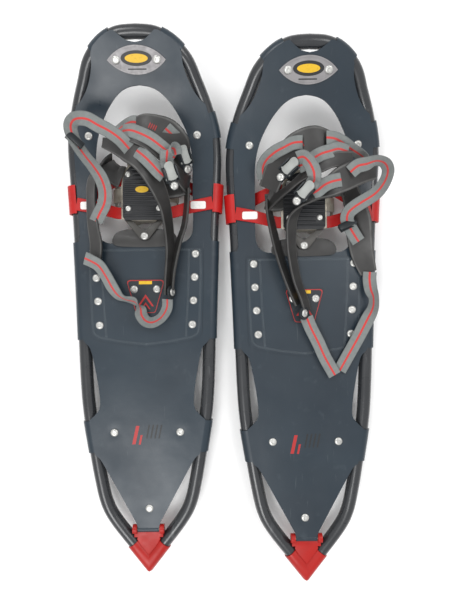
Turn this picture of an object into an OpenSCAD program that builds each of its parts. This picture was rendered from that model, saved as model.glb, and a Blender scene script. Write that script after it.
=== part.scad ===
// A pair of trail snowshoes with sprung toe bindings, lying side by side, noses toward +Y.
// Each shoe is drawn about its own axis with its outer side toward -X, then placed left or right.

/* [Pair] */
// Distance between the two shoes' axes
pair_spacing = 231; // [231:1:260]
// How far the right shoe lies behind the left one
right_setback = 16; // [0:1:30]

/* [Frame] */
// Outside diameter of the bent frame tube
tube_d = 19; // [18:0.5:19]
// Wall of the frame tube
tube_wall = 1.2; // [1:0.1:2]
// Height of the tube's centreline above the ground
tube_z = 27; // [27:0.5:28]
// How far forward the nose starts to turn up
kick_start = 165; // [160:1:170]
// Radius of the nose's upward bend, at the tube's centreline
kick_radius = 260; // [250:5:270]
// Slope of the nose once it is turned up, in degrees
kick_angle = 35; // [33:1:36]

/* [Deck] */
// Thickness of the deck sheet
deck_t = 1.6; // [1.2:0.1:1.6]
// Thickness of the reinforcing pad under the heel
pad_t = 1.2; // [1:0.1:1.2]
// Radius of a deck rivet's head
rivet_head_r = 5.5; // [5:0.1:6]

/* [Binding] */
// Distance of the pitch axis ahead of each shoe's own origin
pivot_y = 150; // [148:1:152]
// Height of the pitch axis above the ground
pivot_z = 33; // [32:0.5:34]
// Width of the harness webbing
web_w = 19; // [18:0.5:20]
// Thickness of the harness webbing
web_t = 1.5; // [1.2:0.1:1.5]
// Thickness of the moulded harness panels
panel_t = 2.5; // [2:0.1:2.5]
// Running clearance of a buckle lever's axle, radial
axle_gap = 0.05; // [0.02:0.01:0.1]

/* [Hidden] */
$fn = 48;

tube_r = tube_d / 2;
skin_gap = 0.1;
deck_lo = tube_r + skin_gap;
deck_hi = deck_lo + deck_t;
deck_top = tube_z + deck_hi;
pad_top = deck_top + pad_t;
kick_end = kick_start + kick_radius * sin(kick_angle);
// The pair's box is centred on the origin by this shift along Y
pair_shift_y = 23;

// ---- Curves and swept solids ----

// Smooth curve through a few control rows of any length, with n steps a span
function spline_row(p, i, t) = let (
    a = p[max(i - 1, 0)], b = p[i], c = p[i + 1], d = p[min(i + 2, len(p) - 1)])
    0.5 * (2 * b + (c - a) * t + (2 * a - 5 * b + 4 * c - d) * t * t
        + (3 * b - a - 3 * c + d) * t * t * t);
function smooth(p, n) = [
    for (i = [0:len(p) - 2]) for (k = [0:n - 1]) spline_row(p, i, k / n),
    p[len(p) - 1]];
function unit(v) = v / norm(v);
function backward(p) = [for (i = [len(p) - 1:-1:0]) p[i]];
function across(p) = [for (q = p) [-q[0], q[1]]];
function place(row) = [row[0], row[1], row[2]];
function tangent(p, i) = unit(place(p[min(i + 1, len(p) - 1)]) - place(p[max(i - 1, 0)]));

// Closed solid through equal rings of points. A ring that runs out along one side and back along
// the other can have its ends closed by a strip of quads
module skin(rings, strip = false) {
    m = len(rings[0]);
    last = len(rings) - 1;
    first_end = strip ? [for (k = [0:m / 2 - 2]) [k, k + 1, m - 2 - k, m - 1 - k]]
        : [[for (k = [0:m - 1]) k]];
    last_end = [for (f = first_end) [for (j = [len(f) - 1:-1:0]) last * m + f[j]]];
    polyhedron(
        points = [for (r = rings) each r],
        faces = concat(
            first_end,
            last_end,
            [for (i = [0:last - 1]) for (k = [0:m - 1])
                let (a = i * m + k, b = i * m + (k + 1) % m)
                each [[a, a + m, b], [b, a + m, b + m]]]),
        convexity = 10);
}

// Flat band through control rows [x, y, z, across x, across y, across z, width]
module band(rows, t, n = 3) {
    p = smooth(rows, n);
    skin([for (i = [0:len(p) - 1]) let (
        c = place(p[i]),
        f = tangent(p, i),
        s0 = [p[i][3], p[i][4], p[i][5]],
        s = unit(s0 - f * (s0 * f)) * p[i][6] / 2,
        u = cross(unit(s), f) * t / 2)
        [c - s - u, c + s - u, c + s + u, c - s + u]]);
}

// ---- Side profile: flat under the boot, then bent up to the nose ----

function rise(y) =
    y <= kick_start ? 0
    : y <= kick_end ? kick_radius - sqrt(pow(kick_radius, 2) - pow(y - kick_start, 2))
    : kick_radius * (1 - cos(kick_angle)) + (y - kick_end) * tan(kick_angle);
function lean(y) =
    y <= kick_start ? 0 : y <= kick_end ? asin((y - kick_start) / kick_radius) : kick_angle;
function surface_normal(y) = [0, -sin(lean(y)), cos(lean(y))];
function profile_point(y, lift) = [y - lift * sin(lean(y)), tube_z + rise(y) + lift * cos(lean(y))];

// Layer of sheet between two heights above the tube's centre, following the side profile
profile_steps = concat([-345], [for (k = [0:12]) kick_start + (kick_end - kick_start) * k / 12], [375]);
module layer(lo, hi, half_w = 130) {
    rotate([90, 0, 90])
        linear_extrude(2 * half_w, center = true)
            polygon(concat(
                [for (y = profile_steps) profile_point(y, lo)],
                [for (y = backward(profile_steps)) profile_point(y, hi)]));
}
// Stands its children on the upturned nose, where the deck's surface passes over y
module on_nose(y) {
    at = y + deck_hi * sin(kick_angle);
    translate([0, y, tube_z + rise(at) + deck_hi * cos(kick_angle)])
        rotate([kick_angle, 0, 0]) children();
}
module both_sides() {
    children();
    mirror([1, 0, 0]) children();
}

// ---- Frame ----

// Half of the tube's centreline in plan, from the tail to the middle of the nose
rail = [[14, -367], [47, -325], [62, -297], [71, -258], [78, -216], [86, -164], [90, -110],
    [94, 10], [98, 110], [102, 180], [103, 216], [101, 240], [96, 261], [88, 284],
    [78, 306], [66, 329], [47, 346], [25, 355.5], [0, 357.5]];
rail_fine = smooth(rail, 6);
rail_table = [for (p = rail_fine) [p[1], p[0]]];
function rail_x(y) = lookup(y, rail_table);
function rail_point(x, y) = [x, y, tube_z + rise(y)];
// Part of the centreline in plan between two values of y, going backward
function rail_piece(y_hi, y_lo, steps) = [for (k = [0:steps])
    let (y = y_hi + (y_lo - y_hi) * k / steps) [rail_x(y), y]];

// Ring of a 2D section [outward, up] about a point of the tube's centreline
function section_ring(c, f, section) = let (
    up = surface_normal(c[1]),
    out = unit(cross(f, up)))
    [for (q = section) c + out * q[0] + up * q[1]];
function circle_section(r, n) = [for (k = [0:n - 1]) [r * cos(360 * k / n), r * sin(360 * k / n)]];

module frame_tube() {
    sides = 12;
    half = smooth(rail, 2);
    plan = concat(half, across([for (i = [len(half) - 2:-1:0]) half[i]]));
    path = [for (p = plan) rail_point(p[0], p[1])];
    m = sides;
    last = len(path) - 1;
    outer = [for (i = [0:last]) each section_ring(path[i], tangent(path, i), circle_section(tube_r, m))];
    inner = [for (i = [0:last])
        each section_ring(path[i], tangent(path, i), circle_section(tube_r - tube_wall, m))];
    inside = len(outer);
    color("#1b1d20") polyhedron(
        points = concat(outer, inner),
        faces = concat(
            [for (i = [0:last - 1]) for (k = [0:m - 1])
                let (a = i * m + k, b = i * m + (k + 1) % m)
                each [[a, a + m, b], [b, a + m, b + m]]],
            [for (i = [0:last - 1]) for (k = [0:m - 1])
                let (a = inside + i * m + k, b = inside + i * m + (k + 1) % m)
                each [[a, b, a + m], [b, b + m, a + m]]],
            [for (k = [0:m - 1])
                let (a = k, b = (k + 1) % m)
                each [[a, b, inside + a], [b, inside + b, inside + a]]],
            [for (k = [0:m - 1])
                let (a = last * m + k, b = last * m + (k + 1) % m)
                each [[a, inside + a, b], [b, inside + a, inside + b]]]),
        convexity = 10);
}

// Moulded cap that joins the two tube ends in a V and carries the tail clip's bar
tail_apex_y = -385;
tail_half_angle = 38;
cap_r = 11.2;
cap_arm = 36;
cap_tip_y = -397;
bar_y = -334;
bar_z = deck_top - 3;
bar_r = 2.4;
ear_r = 6.7;
ear_in = 16.5;
ear_out = 23;
module cap_arm_solid(r, back, length) {
    translate([0, tail_apex_y, tube_z])
        rotate([0, 0, -tail_half_angle])
            rotate([-90, 0, 0])
                translate([0, 0, -back]) cylinder(h = back + length, r = r);
}
module tail_cap() {
    web = [[0, -372], [12, -357], [17, -349], [15, -343], [16.4, -338],
        [-16.4, -338], [-15, -343], [-17, -349], [-12, -357]];
    color("#b01f17") difference() {
        union() {
            both_sides() intersection() {
                cap_arm_solid(cap_r, 16, cap_arm);
                translate([0, cap_tip_y, 0]) cube([60, 60, 60]);
            }
            translate([0, 0, tube_z - 6]) linear_extrude(15) polygon(web);
            both_sides() translate([ear_in, bar_y, bar_z]) rotate([0, 90, 0])
                cylinder(h = ear_out - ear_in, r = ear_r);
            both_sides() translate([12, bar_y - 12, tube_z - 4]) cube([ear_out - 14, 12, 13]);
        }
        both_sides() cap_arm_solid(tube_r, -16, cap_arm + 1);
        translate([-ear_out - 1, bar_y, bar_z]) rotate([0, 90, 0])
            cylinder(h = 2 * ear_out + 2, r = bar_r);
    }
}
// Steel bar in the cap's ears, with the plate that the deck's tail is riveted to
module tail_clip() {
    plate = 2;
    color("#a9a49b") difference() {
        union() {
            translate([-ear_out, bar_y, bar_z]) rotate([0, 90, 0]) cylinder(h = 2 * ear_out, r = bar_r);
            translate([-15, bar_y, tube_z + deck_lo - plate - 0.1]) cube([30, 46, plate]);
        }
        deck_rivet_holes([tail_rivet]);
    }
}

// ---- Deck ----

mid_rivets = [[78, 241], [-78, 241]];
heel_rivets = [for (s = [1, -1]) each [[73 * s, 68], [71.5 * s, 34], [69.5 * s, 0], [67.5 * s, -35]]];
low_rivets = [[48, -192], [-48, -192]];
tail_rivet = [2, -303];
badge_rivets = [[16.5, 17], [-16.5, 17]];
nose_rivet_x = 27.5;
nose_badge_y = 324.5;
shank_r = 2.5;
module deck_rivet_holes(places) {
    for (p = places) translate([p[0], p[1], 0]) cylinder(h = 60, r = shank_r);
}
module mid_rivet_holes() {
    for (p = mid_rivets)
        translate([p[0], p[1], tube_z + rise(p[1])]) rotate([lean(p[1]), 0, 0])
            cylinder(h = 60, r = shank_r, center = true);
}
module nose_rivet_holes() {
    on_nose(nose_badge_y) for (s = [1, -1]) translate([s * nose_rivet_x, 0, -20])
        cylinder(h = 40, r = shank_r);
}

// Half outline of the deck: it stops on the tube's centreline where the collars take over
deck_half = concat(
    smooth([[0, 342], [11, 344], [20, 349], [27, 354]], 3),
    rail_piece(353.5, 338, 4),
    smooth([[61, 331], [62, 320], [66, 308], [74, 293], [84, 281], [91, 276]], 3),
    rail_piece(270, 236, 6),
    [for (p = rail_piece(230, 94, 8)) [p[0] - 2, p[1]]],
    rail_piece(88, -57, 5),
    smooth([[88, -62], [82, -69], [77, -88], [71, -122], [68.5, -146], [70, -158], [77, -167]], 3),
    rail_piece(-174, -222, 3),
    smooth([[76, -225], [69, -231], [60, -246]], 3),
    [[17, -325], [15.5, bar_y + bar_r + 0.2]]);
toe_hole_half = smooth([[0, 298.5], [16, 296], [30, 289], [44, 275], [55, 258], [63, 241],
    [68, 222], [70, 200], [70, 150], [70, 108], [66, 93], [56, 85.5], [42, 84], [0, 84]], 3);
badge_slots = [[0, 36, 41], [0, -22.5, 16]];
module badge_slot_holes() {
    for (s = badge_slots) translate([s[0] - s[2] / 2, s[1] - 1, 0]) cube([s[2], 2, 60]);
}
module deck() {
    color("#46525b") difference() {
        intersection() {
            layer(deck_lo, deck_hi);
            translate([0, 0, 1]) linear_extrude(200)
                difference() {
                    polygon(concat(deck_half, across(backward(deck_half))));
                    polygon(concat(toe_hole_half, across(backward(toe_hole_half))));
                }
        }
        deck_rivet_holes(concat(heel_rivets, low_rivets, [tail_rivet], badge_rivets));
        mid_rivet_holes();
        nose_rivet_holes();
        badge_slot_holes();
    }
}

// The deck's tabs go over the tube, round it and back up to their rivets
function leave_angle(r, q) = atan2(q[1], q[0]) + acos(r / norm(q)) - 360;
function arc_points(r, from, to, n) = [for (k = [0:n])
    let (a = from + (to - from) * k / n) [r * cos(a), r * sin(a)]];
function tab_section(reach) = let (
    r_in = tube_r + skin_gap,
    r_out = r_in + deck_t,
    top = tube_r,
    near = 7,
    q_in = [-(reach - near), top],
    q_out = [-(reach - near) - 0.8, top - deck_t])
    concat(
        arc_points(r_out, 90, leave_angle(r_out, q_out), 9),
        [q_out, [-(reach + near), top - deck_t], [-(reach + near), top], q_in],
        arc_points(r_in, leave_angle(r_in, q_in), 90, 9));
// Each tab: from y, to y, how far inboard its rivet is
tabs = [[353.5, 338, 22, 3], [269, 236, 23, 2], [87, -56, 24, 4], [-175, -221, 35, 3]];
module tab_collar(tab) {
    plan = rail_piece(tab[0], tab[1], tab[3]);
    path = [for (p = plan) rail_point(p[0], p[1])];
    // Going backward along the right rail, outward is the other way round
    section = [for (q = tab_section(tab[2])) [-q[0], q[1]]];
    skin([for (i = [0:len(path) - 1]) section_ring(path[i], tangent(path, i), section)],
        strip = true);
}
module deck_collars() {
    color("#4b5861") both_sides() for (tab = tabs) tab_collar(tab);
}

module rivet(grip) {
    cylinder(h = 0.8, r = rivet_head_r);
    translate([0, 0, 0.8]) cylinder(h = 1, r1 = rivet_head_r, r2 = rivet_head_r * 0.55);
    translate([0, 0, -grip]) cylinder(h = grip, r = shank_r);
    translate([0, 0, -grip - 1]) cylinder(h = 1, r = 4);
}
badge_plate_t = 1;
module deck_rivets() {
    tab_grip = 2 * deck_t + skin_gap;
    rail_grip = pad_t + 2 * deck_t + skin_gap + crampon_t;
    color("#c9c9c4") {
        for (p = heel_rivets) translate([p[0], p[1], pad_top]) rivet(rail_grip);
        for (p = low_rivets) translate([p[0], p[1], deck_top]) rivet(tab_grip);
        for (p = badge_rivets) translate([p[0], p[1], pad_top + badge_plate_t])
            rivet(badge_plate_t + pad_t + deck_t + crampon_t);
        translate([tail_rivet[0], tail_rivet[1], deck_top]) rivet(deck_t + 2.1);
        for (p = mid_rivets) translate([p[0], p[1], tube_z + rise(p[1])])
            rotate([lean(p[1]), 0, 0]) translate([0, 0, deck_hi]) rivet(tab_grip);
        on_nose(nose_badge_y) for (s = [1, -1]) translate([s * nose_rivet_x, 0, nose_plate_t])
            rivet(nose_plate_t + deck_t);
    }
}

// Pointed oval plate on the nose
nose_plate_t = 1.2;
module lens(half_l, half_w) {
    r = (pow(half_l, 2) + pow(half_w, 2)) / (2 * half_w);
    intersection() {
        translate([0, r - half_w]) circle(r, $fn = 96);
        translate([0, half_w - r]) circle(r, $fn = 96);
    }
}
module nose_badge() {
    half_l = 39.5;
    half_w = 18.3;
    rim = 2.2;
    color("#9a9a9c") difference() {
        on_nose(nose_badge_y) {
            linear_extrude(nose_plate_t) lens(half_l, half_w);
            linear_extrude(nose_plate_t + 0.5) difference() {
                lens(half_l, half_w);
                lens(half_l - rim * 1.6, half_w - rim);
            }
        }
        nose_rivet_holes();
    }
}

module heel_pad() {
    half = concat([[0, 79], [84, 77]], smooth([[84.5, 40], [82, -30], [80, -50], [68, -57], [35, -63], [0, -67]], 3));
    color("#4d5963") difference() {
        translate([0, 0, deck_top]) linear_extrude(pad_t)
            polygon(concat(half, across(backward(half))));
        deck_rivet_holes(concat(heel_rivets, badge_rivets));
        badge_slot_holes();
    }
}

// Trapezoid plate with rounded corners on the heel pad
module heel_badge() {
    half = concat([[0, 32]], smooth([[24, 32], [27.5, 30.5], [28.3, 27]], 3),
        smooth([[16.5, -14], [15, -17.5], [12, -19]], 3), [[0, -19]]);
    color("#3f464c") difference() {
        translate([0, 0, pad_top]) linear_extrude(badge_plate_t)
            polygon(concat(half, across(backward(half))));
        deck_rivet_holes(badge_rivets);
    }
}

// ---- Heel crampon: two toothed side rails and a cleat under the badge ----

crampon_t = 2;
tooth_flat = 3;
// Comb of teeth in the Y-Z plane, standing on the ground
module comb(length, top, root, count) {
    pitch = length / count;
    teeth = [for (i = [0:count - 1]) let (y = -length / 2 + i * pitch)
        each [[y, root], [y + (pitch - tooth_flat) / 2, 0], [y + (pitch + tooth_flat) / 2, 0]]];
    rotate([90, 0, 90]) linear_extrude(crampon_t, center = true)
        polygon(concat(teeth, [[length / 2, root], [length / 2, top], [-length / 2, top]]));
}
module heel_crampon() {
    rail_len = 122;
    rail_w = 10.6;
    rail_lean = -3;
    rail_top = tube_z + tube_r - deck_t;
    cleat_top = tube_z + deck_lo;
    color("#a39b8b") difference() {
        union() {
            both_sides() translate([70.2, 17, 0]) rotate([0, 0, rail_lean]) {
                translate([-rail_w / 2, -rail_len / 2, rail_top - crampon_t]) cube([rail_w, rail_len, crampon_t]);
                translate([-rail_w / 2 + crampon_t / 2, 0, 0]) comb(rail_len, rail_top, 15, 4);
            }
            translate([-24, -26, cleat_top - crampon_t]) cube([48, 62, crampon_t]);
            for (s = [1, -1]) translate([s * (24 - crampon_t / 2), 5, 0]) comb(62, cleat_top, 15, 2);
        }
        deck_rivet_holes(concat(heel_rivets, badge_rivets));
    }
}

// ---- Sprung suspension: a strap on each side between the tube and the toe crampon ----

// Upper and lower runs of the strap on the outer side, [x, y, z, across, width]
strap_t = 2.5;
upper_run = [[-99, 142, deck_top + 1.7, 0, 1, 0, 19], [-72, 137, deck_top + 1.7, 0, 1, 0, 18],
    [-50, 131, deck_top + 1.9, 0, 1, 0, 17], [-38, 128, deck_top + 2.1, 0, 1, 0, 17],
    [-27.5, 128, deck_top + 2.1, 0, 1, 0, 17]];
lower_run = [[-89, 157, 14.5, 0, 1, 0, 20], [-74, 163, 20, 0, 1, 0, 18],
    [-60, 169, 27.5, 0, 1, 0, 17], [-46, 174, 34.5, 0, 1, 0, 16], [-35, 175, 39.2, 0, 1, 0, 16],
    [-27.5, 175, 40.4, 0, 1, 0, 16]];
module strap_collar() {
    r_in = deck_hi + 0.3;
    r_out = r_in + strap_t;
    section = concat(arc_points(r_out, 92, -125, 10), arc_points(r_in, -125, 92, 10));
    plan = rail_piece(168, 130, 2);
    path = [for (p = plan) [p[0], p[1], tube_z]];
    skin([for (i = [0:len(path) - 1])
        section_ring(path[i], tangent(path, i), [for (q = section) [-q[0], q[1]]])],
        strip = true);
}
module suspension_strap() {
    color("#b5261f") {
        both_sides() strap_collar();
        both_sides() band(upper_run, strap_t, 2);
        both_sides() band(lower_run, strap_t, 2);
    }
}

// ---- Binding platform ----

plate_z = 42.5;
plate_top = plate_z + crampon_t;
plate_half_w = 33;
plate_rear = 118;
plate_half = concat(
    smooth([[0, 204], [12, 203], [23, 196], [30, 184], [32.5, 170]], 3),
    [[plate_half_w, 160], [plate_half_w, plate_rear], [0, plate_rear]]);
bolts = [for (x = [22, -22]) for (y = [182, 133]) [x, y]];
bolt_r = 2.5;
module bolt_holes() {
    for (b = bolts) translate([b[0], b[1], 30]) cylinder(h = 40, r = bolt_r);
}
// Folded steel plate with side wings, side combs and claws at the front and rear
module toe_crampon() {
    wing = [[plate_half_w, plate_top], [47, 31], [47, 16], [45, 16], [45, 30.2],
        [plate_half_w - 1.2, plate_z]];
    claw = [[-27, 0], [-24, 0], [-15, 22], [15, 22], [24, 0], [27, 0], [27, 30], [20, 44], [-20, 44], [-27, 30]];
    rear_claw = [[-18, 0], [-15, 0], [-9, 18], [9, 18], [15, 0], [18, 0], [18, plate_top], [-18, plate_top]];
    color("#a39b8b") difference() {
        union() {
            translate([0, 0, plate_z]) linear_extrude(crampon_t)
                polygon(concat(plate_half, across(backward(plate_half))));
            both_sides() translate([0, 164, 0]) rotate([90, 0, 0]) linear_extrude(20) polygon(wing);
            both_sides() translate([46, 155, 0]) comb(58, 21, 12, 3);
            translate([0, 203.5, 0]) rotate([90, 0, 0]) linear_extrude(crampon_t) polygon(claw);
            translate([0, plate_rear + 0.1, 0]) rotate([90, 0, 0]) linear_extrude(crampon_t) polygon(rear_claw);
        }
        bolt_holes();
    }
}

foot_z = plate_top + 0.1;
foot_t = 5;
foot_half = concat(
    smooth([[0, 199], [12, 197], [22, 190], [28, 179], [30, 165]], 3),
    [[30, 121], [27, 116.5], [0, 116.5]]);
// Ribbed rubber platform under the ball of the foot
module footbed() {
    ribs = 12;
    rib_pitch = 5.6;
    rib_w = 2.6;
    color("#17191c") difference() {
        union() {
            translate([0, 0, foot_z]) linear_extrude(foot_t)
                polygon(concat(foot_half, across(backward(foot_half))));
            for (i = [0:ribs - 1]) let (w = i > 9 ? 34 : 50)
                translate([-w / 2, 122 + i * rib_pitch, foot_z + foot_t]) cube([w, rib_w, 1.2]);
        }
        for (b = bolts) translate([b[0], b[1], foot_z + foot_t]) cylinder(h = 10, r = 4.6);
        bolt_holes();
    }
}
bracket_t = 3;
bracket_rivet = [0, 94];
flap_t = 1.8;
module rear_bracket() {
    arms = [[-29, 117.8], [-20, 117.8], [0, 101], [20, 117.8], [29, 117.8], [6, 89.5], [0, 88], [-6, 89.5]];
    color("#34342f") difference() {
        translate([0, 0, plate_top - bracket_t]) linear_extrude(bracket_t) polygon(arms);
        deck_rivet_holes([bracket_rivet]);
    }
}
module rear_flap() {
    half = smooth([[0, 105], [26, 104], [40, 100], [47, 91], [45, 82], [30, 79], [0, 78]], 3);
    color("#1c1c1b") difference() {
        translate([0, 0, plate_top - bracket_t - flap_t - 0.1]) linear_extrude(flap_t)
            polygon(concat(half, across(backward(half))));
        deck_rivet_holes([bracket_rivet]);
    }
}

// ---- Harness panels: control rows for the left shoe and the right shoe ----

toe_cup_rows = [
    [[61, 180, 50, 0.1, 0.9, 0.2, 26], [58, 198, 70, 0.3, 0.9, 0.2, 30], [52, 212, 82, 0.4, 0.85, 0.2, 40],
        [38, 226, 90, 0.5, 0.8, 0.1, 42], [21, 235, 94, 0.4, 0.9, 0, 34], [8, 240, 93, 0.2, 0.95, 0, 26],
        [-2, 241, 90, 0.1, 1, 0, 18]],
    [[51, 175, 47, 0.6, 0.8, 0.1, 30], [42, 198, 64, 0.5, 0.8, 0.1, 34], [28, 214, 80, 0.4, 0.85, 0.1, 36],
        [12, 225, 90, 0.2, 0.95, 0, 40], [-8, 230, 94, 0, 1, 0, 40], [-26, 230, 90, -0.1, 1, 0, 30],
        [-40, 228, 82, -0.2, 1, 0, 20]]];
wrap_rows = [
    [[-53, 222, 68, 0.3, 0.9, 0.3, 14], [-28, 212, 85, 0.35, 0.9, 0.1, 26], [-8, 201, 96, 0.5, 0.85, 0, 34],
        [7, 187, 99, 0.7, 0.7, -0.1, 30], [18, 170, 95, 0.8, 0.5, -0.3, 26], [27, 152, 85, 0.75, 0.3, -0.5, 24],
        [33, 133, 72, 0.6, 0.2, -0.75, 22], [36, 111, 62, 0.5, 0.1, -0.85, 22],
        [38, 72, 53, 0.5, 0, -0.85, 20], [35, 30, 52, 0.5, 0, -0.85, 20], [34, 8, 52, 0.5, 0, -0.85, 18]],
    [[-94, 194, 76, -0.3, 0.9, 0, 26], [-71, 189, 85, -0.3, 0.9, 0, 34], [-48, 179, 92, -0.4, 0.9, 0, 36],
        [-28, 167, 94, -0.5, 0.8, 0, 28], [-8, 155, 91, -0.6, 0.7, -0.2, 22], [9, 144, 83, -0.7, 0.6, -0.4, 20],
        [20, 129, 72, -0.8, 0.3, -0.5, 20], [21, 107, 62, -0.75, 0, -0.65, 20],
        [19, 79, 55, -0.7, -0.1, -0.7, 20], [12, 43, 52, -0.7, -0.2, -0.7, 20],
        [2, 15, 52, -0.7, -0.2, -0.7, 20], [-2, -1, 52, -0.7, -0.2, -0.7, 18]]];
finger_rows = [
    [[-14, 222, 96, 0.4, 0.9, 0, 16], [-2, 217, 100, 0.4, 0.9, 0, 14], [18, 206, 102, 0.5, 0.85, 0, 14],
        [35, 192, 98, 0.6, 0.8, 0, 14], [50, 178, 84, 0.6, 0.7, 0.3, 16], [62, 167, 62, 0.3, 0.9, 0.3, 24],
        [65, 165, 46, 0.1, 0.9, 0.2, 30]],
    [[-60, 205, 86, -0.2, 1, 0, 24], [-34, 203, 95, -0.3, 0.95, 0, 20], [-14, 194, 97, -0.4, 0.9, 0, 18],
        [6, 184, 92, -0.5, 0.85, 0, 18], [24, 171, 78, -0.5, 0.8, -0.2, 22], [43, 159, 56, -0.4, 0.85, -0.3, 28],
        [55, 154, 46, -0.2, 0.9, -0.2, 34]]];
inner_arm_rows = [
    [[63, 159, 53, 0.3, 0, 0.9, 20], [62, 137, 52.5, 0.35, 0, 0.9, 20], [58, 108, 51, 0.4, 0, 0.9, 20],
        [49, 80, 51, 0.45, 0, 0.85, 20], [41, 44, 51, 0.45, 0, 0.85, 20], [38, 15, 51, 0.45, 0, 0.85, 18]],
    [[53, 159, 52, 0.3, 0, 0.9, 20], [50, 137, 51, 0.5, 0, 0.85, 20], [44, 108, 52, 0.6, 0, 0.8, 20],
        [35, 72, 52, 0.6, 0, 0.8, 20], [21, 32, 51, 0.6, 0, 0.8, 20], [11, 8, 51, 0.6, 0, 0.8, 18]]];
outer_arm_rows = [
    [[-44, 204, 54, 0.6, 0.7, 0.4, 22], [-57, 192, 61.5, 0.7, 0.6, 0.5, 22],
        [-69, 174, 63.5, 0.7, 0.3, 0.6, 22],
        [-73, 144, 59, 0.7, 0, 0.7, 22], [-72, 109, 53, 0.75, 0, 0.6, 24], [-69, 81, 49, 0.8, 0, 0.5, 24],
        [-72, 55, 46, 0.85, 0.1, 0.4, 20]],
    [[-62, 177, 54, -0.7, 0.5, 0.3, 24], [-69, 151, 59, -0.85, 0.2, 0.4, 30], [-75, 127, 58, -0.9, 0.1, 0.4, 36],
        [-78, 103, 53, -0.9, 0.1, 0.35, 36], [-84, 76, 48, -0.9, 0.15, 0.3, 32],
        [-92, 53, 46, -0.95, 0.15, 0.2, 24]]];
// Wings of the harness base that stand beside the footbed and carry the arms
outer_wing_rows = [
    [[-31, 174, 47.5, 0, 1, 0, 30], [-40, 173, 47.8, 0, 1, 0, 28], [-48, 172, 48, 0, 1, 0, 26],
        [-57, 170, 48.2, 0, 1, 0, 24]],
    [[-31, 176, 47.2, 0, 1, 0, 30], [-42, 175, 47, 0, 1, 0, 28], [-52, 173, 46.8, 0, 1, 0, 26],
        [-60, 171, 47, 0, 1, 0, 24]]];
inner_wing_rows = [
    [[31, 166, 47.5, 0, 1, 0, 40], [45, 168, 47.5, 0, 1, 0, 40], [56, 170, 47.8, 0, 1, 0, 34],
        [62.5, 174, 48, 0, 1, 0, 20]],
    [[31, 158, 47.5, 0, 1, 0, 30], [37, 155, 47.5, 0, 1, 0, 28], [42, 153, 47.5, 0, 1, 0, 26],
        [47, 151, 47.5, 0, 1, 0, 24]]];
module harness_panel(rows) { color("#3a3937") band(rows, panel_t); }
module toe_cup(k) { harness_panel(toe_cup_rows[k]); }
module instep_wrap(k) {
    harness_panel(wrap_rows[k]);
    harness_panel(finger_rows[k]);
}
module outer_arm(k) {
    harness_panel(outer_arm_rows[k]);
    harness_panel(outer_wing_rows[k]);
}
module inner_arm(k) {
    harness_panel(inner_arm_rows[k]);
    harness_panel(inner_wing_rows[k]);
}

// ---- Webbing: routes of the left shoe and the right shoe, [x, y, z, across] ----

toe_web_outer = [
    [[-48, 218, 50, -0.7, 0.5, -0.5], [-43, 230, 58, -0.4, 0.8, -0.5], [-32, 238, 68, 0.4, 0.8, 0.3],
        [-20, 242, 79, 0.4, 0.85, 0.2], [-7, 243, 90, 0.2, 0.95, 0], [5, 239, 97, 0.1, 1, 0],
        [12, 236, 98, 0.1, 1, 0]],
    [[-23, 232, 98, -0.1, 1, 0], [-34, 232, 94, -0.3, 0.95, 0], [-45, 230, 86, -0.6, 0.8, 0.2],
        [-58, 223, 81, -0.5, 0.5, 0.6], [-69, 217, 79, -0.4, 0.4, 0.8], [-78, 211, 77, -0.3, 0.3, 0.9],
        [-83, 202, 76, -0.2, 0.3, 0.9]]];
toe_web_inner = [
    [[38, 232, 94, 0.7, 0.6, 0.3], [46, 226, 88, 0.7, 0.5, 0.4], [53, 222, 79, 0.7, 0.4, 0.5],
        [59, 217, 70, 0.7, 0.3, 0.6], [62, 206, 60, 0.6, 0.2, 0.7]],
    [[9, 227, 96, 0.2, 1, 0], [21, 227, 92, 0.2, 0.95, 0], [33, 223, 86, 0.4, 0.9, 0],
        [44, 219, 79, 0.5, 0.8, 0.2], [55, 212, 69, 0.7, 0.5, 0.4], [60, 203, 58, 0.8, 0.3, 0.5],
        [58, 190, 49, 0.8, 0.2, 0.5]]];
front_run = [
    [[-20, 229, 93, 0.3, 0.9, 0.1], [-8, 228, 99, 0.3, 0.95, 0], [6, 222, 103, 0.4, 0.9, 0],
        [20, 214, 106, 0.5, 0.85, 0], [33, 204, 106, 0.6, 0.8, -0.1], [43, 196, 103, 0.6, 0.75, -0.2],
        [50, 191, 98, 0.6, 0.7, -0.3]],
    [[-54, 216, 86, -0.4, 0.9, 0], [-40, 218, 93, -0.2, 1, 0], [-28, 214, 98, 0, 1, 0],
        [-14, 209, 101, 0.2, 0.95, 0], [-2, 202, 101, 0.3, 0.9, 0], [10, 196, 98, 0.4, 0.9, 0],
        [15, 194, 96, 0.4, 0.85, 0]]];
rear_run = [
    [[1, 200, 102, 0.6, 0.8, 0], [11, 191, 105, 0.65, 0.75, 0], [20, 182, 105, 0.7, 0.7, 0],
        [29, 172, 103, 0.7, 0.7, -0.1], [36, 166, 100, 0.7, 0.6, -0.2]],
    [[-42, 176, 96, -0.3, 0.95, 0], [-30, 173, 99, -0.2, 0.95, 0], [-19, 168, 100, 0.2, 0.95, 0],
        [-10, 161, 99, 0.3, 0.9, 0], [-4, 158, 97, 0.4, 0.9, 0]]];
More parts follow.
